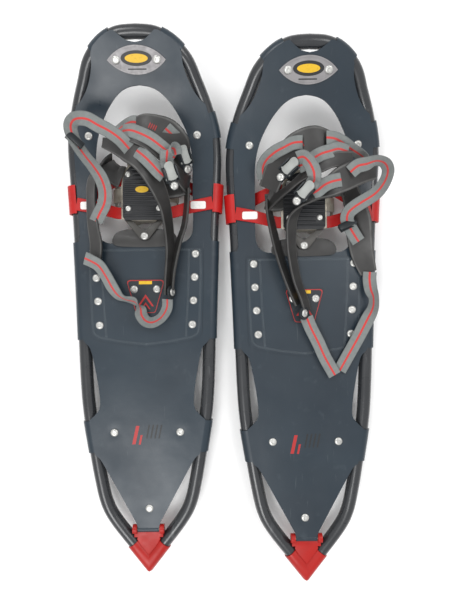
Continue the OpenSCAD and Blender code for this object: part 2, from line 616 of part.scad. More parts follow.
bridge_run = [
    [[52, 193, 105, 0.7, 0.6, 0.2], [51, 199, 110, 0.7, 0.6, 0.2], [47, 199, 115, 0.6, 0.6, 0.3],
        [43, 194, 117, 0.6, 0.5, 0.2], [41, 188, 113.5, 0.7, 0.45, 0], [40, 185, 108, 0.8, 0.4, -0.25],
        [42, 178.4, 105.1, 0.85, 0.4, -0.35]],
    [[17, 203, 105, 0.3, 0.7, 0.5], [10, 203, 110, -0.1, 0.8, 0.6], [3, 195, 113, -0.6, 0.5, 0.5],
        [-2, 184, 114, -0.8, 0, 0.3], [-3.5, 176.5, 112, -0.8, -0.45, 0.2], [-4.3, 173, 106.2, -0.72, -0.65, 0.2],
        [-0.6, 167.9, 102.4, -0.68, -0.7, 0.2]]];
loop_run = [
    [[-15, 208, 100, 0.8, 0.5, 0], [-21, 216, 104, 0.6, 0.8, 0], [-35, 225, 107, 0.5, 0.85, 0],
        [-49, 232, 109, 0.45, 0.85, 0.1], [-64, 240, 110, 0.2, 0.9, 0.3], [-79, 241, 108, -0.4, 0.7, 0.6],
        [-87, 235, 103, -0.7, 0.3, 0.6], [-87, 224, 97, -0.7, -0.2, 0.6], [-82, 212, 91, -0.6, -0.4, 0.6],
        [-73, 198, 86, -0.6, -0.4, 0.6], [-63, 185, 81, -0.7, -0.35, 0.5], [-54, 170, 76, -0.9, -0.1, 0.3],
        [-50, 154, 71, -0.95, 0, 0.2], [-52, 138, 67, -0.9, 0.2, 0.2], [-60, 123, 64, -0.85, 0.4, 0.3],
        [-66, 113, 60, -0.8, 0.4, 0.3]],
    [[-55, 186, 96, 0.6, 0.8, 0], [-64, 193, 100, 0.5, 0.85, 0.1], [-75, 195, 103, 0.2, 0.8, 0.5],
        [-88, 199, 103, 0, 0.5, 0.85], [-100, 197, 99, -0.4, 0.3, 0.85], [-106, 189, 94, -0.6, 0, 0.8],
        [-105, 178, 89, -0.6, -0.3, 0.7], [-99, 167, 85, -0.6, -0.6, 0.5], [-90, 158, 82, -0.5, -0.8, 0.3],
        [-75, 149, 79, -0.5, -0.85, 0.1], [-64, 142, 77, -0.5, -0.8, 0.1], [-57, 135, 74, -0.7, -0.6, 0.2],
        [-56, 126, 70, -0.9, -0.3, 0.3], [-61, 116, 66, -0.8, 0.4, 0.3], [-68, 106, 62, -0.8, 0.5, 0.3],
        [-75, 97, 58, -0.8, 0.5, 0.2]]];
heel_run = [
    [[-84, 62, 53, 0.5, 0.8, 0.3], [-73, 57, 58, 0.6, 0.7, 0.4], [-62, 50, 60, 0.8, 0.5, 0.3],
        [-53, 36, 58, 0.9, 0.2, 0.3], [-45, 20, 55, 0.9, 0.3, 0.3], [-37, 9, 53, 0.6, 0.5, 0.6],
        [-26, 3, 54, 0.1, 0.4, 0.9], [-12, -1, 57, 0.1, 0.6, 0.8], [-5, -10, 58, -0.6, 0.3, 0.8],
        [-4, -20, 55, -0.8, 0, 0.6], [2, -29, 52, -0.5, -0.6, 0.6], [12, -31, 50, 0, -0.8, 0.6],
        [24, -24, 50, 0.5, -0.6, 0.6], [32, -11, 51, 0.8, -0.3, 0.5], [33, 2, 52, 0.85, 0, 0.5]],
    [[-93, 54, 50, -0.95, 0.1, 0.2], [-92, 43, 51, -0.95, 0.1, 0.2], [-93, 29, 54, -0.8, 0.2, 0.5],
        [-96, 17, 57, -0.5, 0.1, 0.85], [-95, 2, 56, -0.6, -0.2, 0.8], [-87, -16, 52, -0.85, -0.4, 0.3],
        [-75, -41, 48, -0.87, -0.48, 0], [-62, -66, 44, -0.87, -0.48, 0], [-50, -88, 42, -0.87, -0.48, 0]]];
// Second leg of the right shoe's heel strap, past its fold
heel_run_back = [[-42, -94, 45.5, -0.87, 0.45, 0], [-28, -69, 47, -0.9, 0.42, 0],
    [-18, -47, 49, -0.9, 0.4, 0], [-7, -25, 51, -0.9, 0.4, 0], [-1, -10, 52, -0.9, 0.4, 0]];
module webbing(rows, n = 2) {
    color("#7d8280") band([for (r = rows) concat(r, [web_w])], web_t, n);
}
module toe_webbing(k) {
    webbing(toe_web_outer[k]);
    webbing(toe_web_inner[k]);
}
module instep_webbing(k) {
    webbing(front_run[k]);
    webbing(bridge_run[k], 3);
    webbing(rear_run[k]);
}
module webbing_loop(k) { webbing(loop_run[k]); }
module heel_strap(k) {
    webbing(heel_run[k]);
    if (k == 1) webbing(heel_run_back);
}

// ---- Buckles, disc, keeper and the binding's fasteners ----

// Pose of each buckle, [x, y, z, roll, pitch, heading], for the left and right shoes
front_buckle_pose = [[61, 193, 88, 38, -20, 107], [27, 191, 94, 20, -18, 138]];
rear_buckle_pose = [[44, 168, 100, 22, -16, 108], [7, 159, 97, 12, -16, 133]];
module posed(pose) {
    translate([pose[0], pose[1], pose[2]]) rotate([pose[3], pose[4], pose[5]]) children();
}
axle_x = -5;
axle_z = 5;
axle_r = 1.6;
buckle_rivet_x = -15;
// Base with two cheeks, a cross bar for the webbing and a round tab for its rivet
module buckle() {
    color("#2b2f33") difference() {
        union() {
            translate([-10, -9.5, 0]) cube([22, 19, 2]);
            translate([buckle_rivet_x, 0, 0]) cylinder(h = 2, r = 6.5);
            translate([-15, -6.5, 0]) cube([8, 13, 2]);
            for (y = [-9.5, 7.5]) translate([-10, y, 2]) cube([20, 2, 6]);
        }
        translate([axle_x, 0, axle_z]) rotate([90, 0, 0])
            cylinder(h = 30, r = axle_r + axle_gap, center = true);
        translate([buckle_rivet_x, 0, -1]) cylinder(h = 5, r = shank_r);
        translate([4, -7, -1]) cube([4, 14, 4]);
    }
}
module lever() {
    color("#a8aba8") {
        translate([axle_x, 0, axle_z]) rotate([90, 0, 0]) cylinder(h = 19, r = axle_r, center = true);
        translate([axle_x, -6.8, axle_z - 1.2]) cube([21, 13.6, 3.4]);
    }
}

disc_pose = [[35.5, 12, 53, 0, 62, 0], [6, -4, 53, 0, -38, 0]];
disc_r = 9.5;
disc_t = 3.5;
module heel_disc(k) {
    color("#4a4e52") posed(disc_pose[k]) difference() {
        translate([0, 0, 2.4]) cylinder(h = disc_t, r = disc_r);
        cylinder(h = 30, r = shank_r, center = true);
    }
}
keeper_pose = [[-84.5, 217, 93.5, 25, 25, 60], [-57, 119, 68, 0, 25, 65]];
module webbing_keeper(k) {
    color("#151617") posed(keeper_pose[k]) difference() {
        cube([10, web_w + 6, 8], center = true);
        cube([12, web_w + 1, 3.5], center = true);
    }
}
module bolt() {
    cylinder(h = 2.4, r = 4.2);
    translate([0, 0, -8.2]) cylinder(h = 8.2, r = bolt_r);
    translate([0, 0, -10.2]) cylinder(h = 3, r = 4);
}
module binding_fasteners(k) {
    color("#b9b6ae") {
        for (b = bolts) translate([b[0], b[1], foot_z + foot_t]) bolt();
        translate([bracket_rivet[0], bracket_rivet[1], plate_top]) rivet(bracket_t + flap_t + 0.1);
        for (pose = [front_buckle_pose[k], rear_buckle_pose[k]])
            posed(pose) translate([buckle_rivet_x, 0, 2]) rivet(4);
        posed(disc_pose[k]) translate([0, 0, 2.4 + disc_t]) rivet(disc_t + 3);
    }
}

// ---- Placing ----

module left() { translate([-pair_spacing / 2, pair_shift_y, 0]) children(); }
module right() {
    translate([pair_spacing / 2, pair_shift_y - right_setback, 0]) mirror([1, 0, 0]) children();
}

left() frame_tube();  // left_frame_tube
left() tail_cap();  // left_tail_cap
left() tail_clip();  // left_tail_clip
left() deck();  // left_deck
left() deck_collars();  // left_deck_collars
left() deck_rivets();  // left_deck_rivets
left() nose_badge();  // left_nose_badge
left() heel_pad();  // left_heel_pad
left() heel_badge();  // left_heel_badge
left() heel_crampon();  // left_heel_crampon
left() suspension_strap();  // left_suspension_strap
left() toe_crampon();  // left_toe_crampon
left() footbed();  // left_footbed
left() binding_fasteners(0);  // left_binding_fasteners
left() rear_bracket();  // left_rear_bracket
left() rear_flap();  // left_rear_flap
left() toe_cup(0);  // left_toe_cup
left() instep_wrap(0);  // left_instep_wrap
left() outer_arm(0);  // left_outer_arm
left() inner_arm(0);  // left_inner_arm
left() posed(front_buckle_pose[0]) buckle();  // left_front_buckle
left() posed(front_buckle_pose[0]) lever();  // left_front_lever
left() posed(rear_buckle_pose[0]) buckle();  // left_rear_buckle
left() posed(rear_buckle_pose[0]) lever();  // left_rear_lever
left() toe_webbing(0);  // left_toe_webbing
left() instep_webbing(0);  // left_instep_webbing
left() webbing_loop(0);  // left_webbing_loop
left() webbing_keeper(0);  // left_webbing_keeper
left() heel_strap(0);  // left_heel_strap
left() heel_disc(0);  // left_heel_disc

right() frame_tube();  // right_frame_tube
right() tail_cap();  // right_tail_cap
right() tail_clip();  // right_tail_clip
right() deck();  // right_deck
right() deck_collars();  // right_deck_collars
right() deck_rivets();  // right_deck_rivets
right() nose_badge();  // right_nose_badge
right() heel_pad();  // right_heel_pad
right() heel_badge();  // right_heel_badge
right() heel_crampon();  // right_heel_crampon
right() suspension_strap();  // right_suspension_strap
right() toe_crampon();  // right_toe_crampon
right() footbed();  // right_footbed
right() binding_fasteners(1);  // right_binding_fasteners
right() rear_bracket();  // right_rear_bracket
right() rear_flap();  // right_rear_flap
right() toe_cup(1);  // right_toe_cup
right() instep_wrap(1);  // right_instep_wrap
right() outer_arm(1);  // right_outer_arm
right() inner_arm(1);  // right_inner_arm
right() posed(front_buckle_pose[1]) buckle();  // right_front_buckle
right() posed(front_buckle_pose[1]) lever();  // right_front_lever
right() posed(rear_buckle_pose[1]) buckle();  // right_rear_buckle
right() posed(rear_buckle_pose[1]) lever();  // right_rear_lever
right() toe_webbing(1);  // right_toe_webbing
right() instep_webbing(1);  // right_instep_webbing
right() webbing_loop(1);  // right_webbing_loop
right() webbing_keeper(1);  // right_webbing_keeper
right() heel_strap(1);  // right_heel_strap
right() heel_disc(1);  // right_heel_disc
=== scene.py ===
"""Looks for a pair of trail snowshoes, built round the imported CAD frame.

Shapes are written in millimetres about one shoe's own axis, with its outer side toward -X,
as in the CAD source. put() carries them to the row frame, mirrored for the right shoe.
"""
import math
from math import radians

import bmesh
import bpy
import numpy as np
from mathutils import Euler, Matrix, Vector
from mathutils.geometry import delaunay_2d_cdt


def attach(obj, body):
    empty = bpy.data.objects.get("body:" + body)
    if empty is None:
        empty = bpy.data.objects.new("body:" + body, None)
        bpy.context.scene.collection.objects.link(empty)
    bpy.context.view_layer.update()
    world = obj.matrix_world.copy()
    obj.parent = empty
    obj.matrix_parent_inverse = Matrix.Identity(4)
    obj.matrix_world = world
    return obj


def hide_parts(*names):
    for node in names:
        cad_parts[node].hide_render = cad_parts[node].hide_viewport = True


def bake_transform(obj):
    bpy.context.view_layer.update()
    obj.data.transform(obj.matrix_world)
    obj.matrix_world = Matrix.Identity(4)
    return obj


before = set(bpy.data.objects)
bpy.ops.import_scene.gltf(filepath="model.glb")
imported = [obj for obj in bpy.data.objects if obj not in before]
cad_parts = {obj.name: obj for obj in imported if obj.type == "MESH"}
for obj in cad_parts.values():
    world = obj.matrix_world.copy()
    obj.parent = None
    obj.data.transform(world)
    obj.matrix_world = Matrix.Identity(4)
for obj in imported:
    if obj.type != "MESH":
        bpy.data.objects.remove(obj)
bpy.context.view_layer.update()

MM = 0.001
SPACING, SETBACK, SHIFT = 231.0, 16.0, 23.0
TUBE_R, TUBE_Z = 9.5, 27.0
KICK_START, KICK_R, KICK_ANGLE = 165.0, 260.0, radians(35)
KICK_END = KICK_START + KICK_R * math.sin(KICK_ANGLE)
DECK_LO, DECK_T, PAD_T = 9.6, 1.6, 1.2
DECK_HI = DECK_LO + DECK_T
DECK_TOP = TUBE_Z + DECK_HI
PAD_TOP = DECK_TOP + PAD_T
PLATE_TOP = 44.5
FOOT_Z, FOOT_T = 44.6, 5.0
WEB_W, WEB_T, PANEL_T, SUSPENSION_T = 19.0, 1.5, 2.5, 2.5
BADGE_T = 1.2
# Plan y of the tail clip's bar, and half the length of the deck's loop round it
BAR_Y, BAR_LOOP_HALF = -334, 15.2
DIP_REACH = 30
STITCH_PITCH, STITCH_REACH, THREAD_R = 1.6, 1.7, 0.3
# Two distances from the axis across the suspension straps; put() is called at them, but its results
# are not used
BLEND_START, BLEND_END = 78, 40
ROUND_STEPS, SPAN_STEPS = 28, 8
# Faces of a band that meet at more than this many degrees show a crisp edge
BAND_ANGLE = 60
IDENTITY = Matrix.Identity(4)
SIDES = ("left", "right")


# ---- Placing and mesh helpers ----

def put(side, p):
    """Row-frame point, in metres, of a shoe-local point in millimetres."""
    if side == "left":
        return Vector((p[0] - SPACING / 2, p[1] + SHIFT, p[2])) * MM
    return Vector((SPACING / 2 - p[0], p[1] + SHIFT - SETBACK, p[2])) * MM


def new_object(name, data):
    obj = bpy.data.objects.new(name, data)
    bpy.context.scene.collection.objects.link(obj)
    return obj


def shoe_mesh(name, side, verts, faces):
    mesh = bpy.data.meshes.new(name)
    if side == "right":
        faces = [tuple(reversed(f)) for f in faces]
    mesh.from_pydata([put(side, v) for v in verts], [], faces)
    return mesh


def piece(name, side, verts, faces, look, body, slot, nodes=(), data=None, angle=40):
    """One visible mesh of one shoe, riding on that shoe's body."""
    mesh = shoe_mesh(f"{side}_{name}", side, verts, faces)
    for key, values in (data or {}).items():
        attribute = mesh.attributes.new(key, "FLOAT", "POINT")
        attribute.data.foreach_set("value", np.array(values, np.float32))
    mesh.validate()
    return finish_piece(mesh, f"{side}_{name}", side, look, body, slot, nodes, angle)


def finish_piece(mesh, name, side, look, body, slot, nodes, angle=40):
    mesh.materials.clear()
    mesh.materials.append(look)
    mesh.polygons.foreach_set("use_smooth", [True] * len(mesh.polygons))
    mesh.set_sharp_from_angle(angle=radians(angle))
    obj = new_object(name + "_look", mesh)
    if body:
        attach(obj, f"{side}_{body}")
    if nodes:
        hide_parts(*[f"{side}_{n}" for n in nodes])
    return obj


def joined(parts):
    """Several (verts, faces) as one."""
    verts, faces = [], []
    for v, f in parts:
        base = len(verts)
        verts += list(v)
        faces += [tuple(i + base for i in q) for q in f]
    return verts, faces


def spline(rows, n):
    """Catmull-Rom curve through control rows of any length, n steps a span."""
    p = np.array(rows, float)
    out = []
    for i in range(len(p) - 1):
        a, b, c, d = p[max(i - 1, 0)], p[i], p[i + 1], p[min(i + 2, len(p) - 1)]
        for k in range(n):
            t = k / n
            out.append(0.5 * (2 * b + (c - a) * t + (2 * a - 5 * b + 4 * c - d) * t * t
                              + (3 * b - a - 3 * c + d) * t ** 3))
    out.append(p[-1])
    return np.array(out)


def unit(v):
    return v / np.linalg.norm(v)


def tangents(points):
    q = np.array(points, float)
    return [unit(q[min(i + 1, len(q) - 1)] - q[max(i - 1, 0)]) for i in range(len(q))]


def skin(rings):
    """Closed solid through equal rings of points."""
    m, n = len(rings[0]), len(rings)
    faces = []
    for i in range(n - 1):
        a, b = i * m, (i + 1) * m
        faces += [(a + k, b + k, b + (k + 1) % m, a + (k + 1) % m) for k in range(m)]
    faces.append(tuple(range(m)))
    faces.append(tuple((n - 1) * m + k for k in reversed(range(m))))
    return [tuple(p) for r in rings for p in r], faces


def lathe(profile, pose):
    """Solid of revolution about the pose's Z from (radius, height) pairs, first and last on it."""
    verts, faces = [(0, 0, profile[0][1])], []
    inner, steps = profile[1:-1], ROUND_STEPS
    for r, z in inner:
        verts += [(r * math.cos(2 * math.pi * k / steps), r * math.sin(2 * math.pi * k / steps), z)
                  for k in range(steps)]
    verts.append((0, 0, profile[-1][1]))
    top = len(verts) - 1
    for k in range(steps):
        l = (k + 1) % steps
        faces.append((0, 1 + l, 1 + k))
        faces.append((top, top - steps + k, top - steps + l))
        for i in range(len(inner) - 1):
            a, b = 1 + i * steps, 1 + (i + 1) * steps
            faces.append((a + k, a + l, b + l, b + k))
    return [tuple(pose @ Vector(v)) for v in verts], faces


# ---- Side profile, rail and outlines, as in the CAD source ----

def rise(y):
    if y <= KICK_START:
        return 0.0
    if y <= KICK_END:
        return KICK_R - math.sqrt(KICK_R ** 2 - (y - KICK_START) ** 2)
    return KICK_R * (1 - math.cos(KICK_ANGLE)) + (y - KICK_END) * math.tan(KICK_ANGLE)


def lean(y):
    if y <= KICK_START:
        return 0.0
    return math.asin((y - KICK_START) / KICK_R) if y <= KICK_END else KICK_ANGLE


def lifted(x, y, lift):
    """Point at plan (x, y) on the sheet that lies `lift` off the tube's centreline."""
    foot = y
    for _ in range(8):
        foot = y + lift * math.sin(lean(foot))
    return (x, y, TUBE_Z + rise(foot) + lift * math.cos(lean(foot)))


def on_nose(y):
    """Frame standing on the upturned deck at plan y."""
    at = y + DECK_HI * math.sin(KICK_ANGLE)
    return (Matrix.Translation((0, y, TUBE_Z + rise(at) + DECK_HI * math.cos(KICK_ANGLE)))
            @ Matrix.Rotation(KICK_ANGLE, 4, "X"))


RAIL = [(14, -367), (47, -325), (62, -297), (71, -258), (78, -216), (86, -164), (90, -110),
        (94, 10), (98, 110), (102, 180), (103, 216), (101, 240), (96, 261), (88, 284),
        (78, 306), (66, 329), (47, 346), (25, 355.5), (0, 357.5)]
RAIL_FINE = spline(RAIL, 8)


def rail_x(y):
    return float(np.interp(y, RAIL_FINE[:, 1], RAIL_FINE[:, 0]))


def rail_piece(hi, lo, steps, inset=0.0):
    ys = [hi + (lo - hi) * k / steps for k in range(steps + 1)]
    return [(rail_x(y) - inset, y) for y in ys]


def bend(points, n=4):
    return [tuple(p) for p in spline(points, n)]


DECK_HALF = (
    bend([(0, 342), (11, 344), (20, 349), (27, 354)])
    + rail_piece(353.5, 338, 6)
    + bend([(61, 331), (62, 320), (66, 308), (74, 293), (84, 281), (91, 276)])
    + rail_piece(270, 236, 8) + rail_piece(230, 94, 24, 2.0) + rail_piece(88, -57, 22)
    + bend([(88, -62), (82, -69), (77, -88), (71, -122), (68.5, -146), (70, -158), (77, -167)])
    + rail_piece(-174, -222, 8)
    + bend([(76, -225), (69, -231), (60, -246)])
    + [(17, -325), (15.5, -331.2)])
TOE_HOLE_HALF = bend([(0, 298.5), (16, 296), (30, 289), (44, 275), (55, 258), (63, 241), (68, 222),
                      (70, 200), (70, 150), (70, 108), (66, 93), (56, 85.5), (42, 84), (0, 84)])
PAD_HALF = ([(0, 79), (84, 77)]
            + bend([(84.5, 40), (82, -30), (80, -50), (68, -57), (35, -63), (0, -67)]))
TABS = ((353.5, 338, 22), (269, 236, 23), (87, -56, 24), (-175, -221, 35))
MID_RIVETS = [(78, 241), (-78, 241)]
HEEL_RIVETS = [(s * x, y) for s in (1, -1)
               for x, y in ((73, 68), (71.5, 34), (69.5, 0), (67.5, -35))]
LOW_RIVETS = [(48, -192), (-48, -192)]
TAIL_RIVET = (2, -303)
BADGE_RIVETS = [(16.5, 17), (-16.5, 17)]
NOSE_BADGE_Y = 324.5


def whole(half):
    """Closed outline from its half, which runs from the top of the axis to the bottom."""
    start = 1 if half[0][0] == 0 else 0
    end = -1 if half[-1][0] == 0 else None
    return list(half) + [(-x, y) for x, y in reversed(half[start:end])]


def dense(loop, step):
    out = []
    for i, a in enumerate(loop):
        b = loop[(i + 1) % len(loop)]
        n = max(1, math.ceil(math.dist(a, b) / step))
        out += [(a[0] + (b[0] - a[0]) * k / n, a[1] + (b[1] - a[1]) * k / n) for k in range(n)]
    return out


def inside(points, loop):
    """For each point, whether it lies in a closed outline."""
    p, q = np.array(points, float), np.array(loop, float)
    r = np.roll(q, -1, 0)
    hit = np.zeros(len(p), bool)
    for (ax, ay), (bx, by) in zip(q, r):
        if ay == by:
            continue
        cross = (ay > p[:, 1]) != (by > p[:, 1])
        hit ^= cross & (p[:, 0] < (bx - ax) * (p[:, 1] - ay) / (by - ay) + ax)
    return hit


def within(points, loops):
    """For each point, whether it lies in the first outline and in none of the others."""
    keep = inside(points, loops[0])
    for l in loops[1:]:
        keep &= ~inside(points, l)
    return keep


def fill(outline, holes, step):
    """Even triangles that fill a flat outline with holes."""
    loops = [dense(l, step) for l in (outline, *holes)]
    points, edges = [], []
    for l in loops:
        base = len(points)
        points += l
        edges += [(base + i, base + (i + 1) % len(l)) for i in range(len(l))]
    border = np.array(points)
    lo, hi = border.min(0), border.max(0)
    grid = [(x + (j % 2) * step / 2, y) for j, y in enumerate(np.arange(lo[1], hi[1], step * 0.87))
            for x in np.arange(lo[0], hi[0], step)]
    for k in np.flatnonzero(within(grid, loops)):
        if np.min(np.sum((border - grid[k]) ** 2, 1)) > (0.55 * step) ** 2:
            points.append(grid[k])
    out = delaunay_2d_cdt([Vector(p) for p in points], edges, [], 0, 1e-4)
    verts, tris = [tuple(v) for v in out[0]], [tuple(f) for f in out[2]]
    middle = [tuple(np.mean([verts[i] for i in t], 0)) for t in tris]
    return verts, [t for t, k in zip(tris, within(middle, loops)) if k]


def thick(flat, tris, top, bottom):
    """Sheet solid with walls round every open edge. top and bottom place a flat point."""
    used = sorted({i for t in tris for i in t})
    index = {old: new for new, old in enumerate(used)}
    n = len(used)
    verts = [top(*flat[i]) for i in used] + [bottom(*flat[i]) for i in used]
    faces, count = [], {}
    for t in tris:
        a, b, c = (index[i] for i in t)
        (ax, ay), (bx, by), (cx, cy) = (flat[i] for i in t)
        if (bx - ax) * (cy - ay) - (by - ay) * (cx - ax) < 0:
            b, c = c, b
        faces.append((a, b, c))
        faces.append((a + n, c + n, b + n))
        for e in ((a, b), (b, c), (c, a)):
            count[e] = 1
    faces += [(e[1], e[0], e[0] + n, e[1] + n) for e in count if (e[1], e[0]) not in count]
    return verts, faces


def bevelled(mesh, width, segments, limit=35):
    """The mesh with its sharp edges rounded over a width in millimetres."""
    bm = bmesh.new()
    bm.from_mesh(mesh)
    bmesh.ops.remove_doubles(bm, verts=bm.verts, dist=2e-6)
    bmesh.ops.dissolve_limit(bm, angle_limit=radians(2), verts=bm.verts, edges=bm.edges)
    bm.to_mesh(mesh)
    bm.free()
    holder = new_object("holder", mesh)
    bevel = holder.modifiers.new("round", "BEVEL")
    bevel.width, bevel.segments = width * MM, segments
    bevel.limit_method, bevel.angle_limit = "ANGLE", radians(limit)
    bevel.use_clamp_overlap = True
    done = bpy.data.meshes.new_from_object(
        holder.evaluated_get(bpy.context.evaluated_depsgraph_get()))
    bpy.data.objects.remove(holder)
    return done


def softened(node, side, look, body, slot, width, segments):
    """Copy of an exact CAD piece with its flats joined and its edges rounded."""
    mesh = bevelled(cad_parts[f"{side}_{node}"].data.copy(), width, segments)
    return finish_piece(mesh, f"{side}_{node}", side, look, body, slot, (node,), 32)


# ---- Materials ----

class Look:
    """A Principled material that grows colour, roughness and bump nodes."""

    def __init__(self, name, color, rough, **sockets):
        self.material = bpy.data.materials.new(name)
        self.material.use_nodes = True
        self.tree = self.material.node_tree
        self.shader = self.tree.nodes["Principled BSDF"]
        self.shader.inputs["Base Color"].default_value = (*color, 1)
        self.shader.inputs["Roughness"].default_value = rough
        for key, value in sockets.items():
            self.shader.inputs[key.replace("_", " ")].default_value = value
        self.color, self.rough, self.normal = tuple(color), rough, None
        self.paint = None
        self.place = self.tree.nodes.new("ShaderNodeTexCoord").outputs["Object"]

    def add(self, kind, inputs=None, **settings):
        node = self.tree.nodes.new("ShaderNode" + kind)
        for key, value in settings.items():
            setattr(node, key, value)
        for key, value in (inputs or {}).items():
            if isinstance(value, bpy.types.NodeSocket):
                self.tree.links.new(value, node.inputs[key])
            else:
                node.inputs[key].default_value = value
        return node

    def math(self, operation, a, b=0.0):
        return self.add("Math", {0: a, 1: b}, operation=operation).outputs[0]

    def attribute(self, name):
        return self.add("Attribute", attribute_name=name).outputs["Fac"]

    def noise(self, scale, detail=3.0, stretch=None, distortion=0.0):
        place = self.place
        if stretch:
            place = self.add("Mapping", {"Vector": place, "Scale": stretch}).outputs[0]
        return self.add("TexNoise", {"Vector": place, "Scale": scale, "Detail": detail,
                                     "Distortion": distortion}).outputs["Fac"]

    def spread(self, value, low, high, to=(0.0, 1.0)):
        return self.add("MapRange", {"Value": value, "From Min": low, "From Max": high,
                                     "To Min": to[0], "To Max": to[1]}).outputs["Result"]

    def tint(self, factor, color):
        """Mixes a colour over what is painted so far."""
        under = self.paint or (*self.color, 1)
        mix = self.add("Mix", {0: factor, 6: under, 7: (*color, 1)}, data_type="RGBA")
        self.paint = mix.outputs[2]
        self.tree.links.new(self.paint, self.shader.inputs["Base Color"])
        return self

    def roughen(self, value, low, high):
        out = self.spread(value, 0.3, 0.7, (low, high))
        self.tree.links.new(out, self.shader.inputs["Roughness"])
        return self

    def moulded(self, light, low, high):
        """Cloudy wear, uneven gloss and the fine grain of soft moulded material."""
        self.tint(self.spread(self.noise(35, 5), 0.4, 0.75, (0, 0.8)), light)
        self.roughen(self.noise(50, 4), low, high)
        self.bump(self.noise(1700, 3), 0.25, 0.2)
        return self.bump(self.noise(90, 2), 0.12, 0.6)

    def bump(self, height, strength, distance_mm):
        values = {"Height": height, "Strength": strength, "Distance": distance_mm * MM}
        if self.normal:
            values["Normal"] = self.normal
        self.normal = self.add("Bump", values).outputs[0]
        self.tree.links.new(self.normal, self.shader.inputs["Normal"])
        return self


def deck_look():
    look = Look("deck_sheet", (0.017, 0.029, 0.041), 0.36, Specular_IOR_Level=0.42)
    look.tint(look.spread(look.noise(9, 4), 0.35, 0.7), (0.012, 0.021, 0.031))
    look.tint(look.spread(look.noise(60, 5), 0.62, 0.8, (0, 0.35)), (0.05, 0.066, 0.08))
    scuffs = look.noise(45, 6, (9, 0.7, 1), 0.4)
    look.tint(look.spread(scuffs, 0.68, 0.76, (0, 0.3)), (0.10, 0.12, 0.13))
    look.roughen(look.noise(14, 5), 0.27, 0.46)
    look.bump(look.noise(1500, 2), 0.12, 0.25)
    look.bump(look.noise(28, 2), 0.3, 1.2)
    return look.material


def rubber_look(name, color, light, rough):
    look = Look(name, color, rough, Specular_IOR_Level=0.45)
    return look.moulded(light, rough - 0.08, rough + 0.1).material


def harness_look():
    """Moulded strap material whose raised edges are painted lighter, as a painted highlight along
    the rims.
    """
    look = Look("harness", (0.018, 0.0175, 0.017), 0.48, Specular_IOR_Level=0.5)
    look.moulded((0.034, 0.033, 0.032), 0.38, 0.58)
    side = look.math("ABSOLUTE", look.attribute("across"))
    # Painted highlight: a lighter grey along both raised edges of each band, broken into patches
    # along its length
    edge_highlight = look.math("MULTIPLY", look.spread(side, 0.76, 0.84), look.spread(side, 0.97, 0.9))
    patches = look.spread(look.noise(80, 5), 0.3, 0.6, (0.35, 0.9))
    return look.tint(look.math("MULTIPLY", edge_highlight, patches), (0.085, 0.085, 0.082)).material


def plastic_look(name, color, rough):
    look = Look(name, color, rough, Specular_IOR_Level=0.32)
    deep = tuple(c * 0.72 for c in color)
    look.tint(look.spread(look.noise(40, 4), 0.4, 0.75, (0, 0.7)), deep)
    look.roughen(look.noise(120, 4), rough - 0.06, rough + 0.06)
    look.bump(look.noise(900, 2), 0.12, 0.15)
    return look.material


def metal_look(name, color, rough, dull, metallic):
    look = Look(name, color, rough, Metallic=metallic)
    look.tint(look.spread(look.noise(70, 6), 0.45, 0.8, (0, 0.85)), dull)
    look.roughen(look.noise(180, 4), rough - 0.08, rough + 0.14)
    look.bump(look.noise(600, 3, (1, 6, 1)), 0.15, 0.15)
    return look.material


def frame_look():
    look = Look("frame_coat", (0.018, 0.020, 0.023), 0.26, Coat_Weight=0.25, Coat_Roughness=0.2)
    scratches = look.noise(120, 6, (1, 0.15, 1))
    look.tint(look.spread(scratches, 0.66, 0.74, (0, 0.4)), (0.09, 0.095, 0.1))
    look.roughen(look.noise(30, 4), 0.2, 0.36)
    look.bump(look.noise(1400, 2), 0.08, 0.15)
    return look.material


def webbing_look():
    """Woven tape: grey with a red centre stripe, from how far along and across each point is."""
    look = Look("webbing", (0.20, 0.215, 0.21), 0.8, Sheen_Weight=0.15, Sheen_Roughness=0.5)
    along, across = look.attribute("along"), look.attribute("across")
    side = look.math("ABSOLUTE", across)
    look.tint(look.spread(look.noise(160, 5), 0.35, 0.75, (0, 0.7)), (0.15, 0.165, 0.165))
    look.tint(look.spread(side, 0.86, 0.98, (0, 0.55)), (0.09, 0.10, 0.10))
    look.tint(look.spread(side, 0.17, 0.13), (0.56, 0.035, 0.032))
    # Herringbone: rows slant out from the middle of the tape
    rows, lean_out = look.math("MULTIPLY", along, 5200.0), look.math("MULTIPLY", side, 14.0)
    ribs = look.math("SINE", look.math("ADD", rows, lean_out))
    ends = look.math("SINE", look.math("MULTIPLY", across, 62.0))
    weave = look.math("MULTIPLY", look.math("ADD", ribs, 1.3), look.math("ADD", ends, 1.6))
    look.tint(look.spread(weave, 1.2, 0.1, (0, 0.4)), (0.05, 0.055, 0.055))
    look.bump(weave, 0.5, 0.12)
    return look.material


def print_look(name, color, rough=0.45):
    look = Look(name, color, rough)
    look.tint(look.spread(look.noise(300, 5), 0.55, 0.75, (0, 0.5)), tuple(c * 0.6 for c in color))
    look.bump(look.noise(1200, 2), 0.1, 0.1)
    return look.material


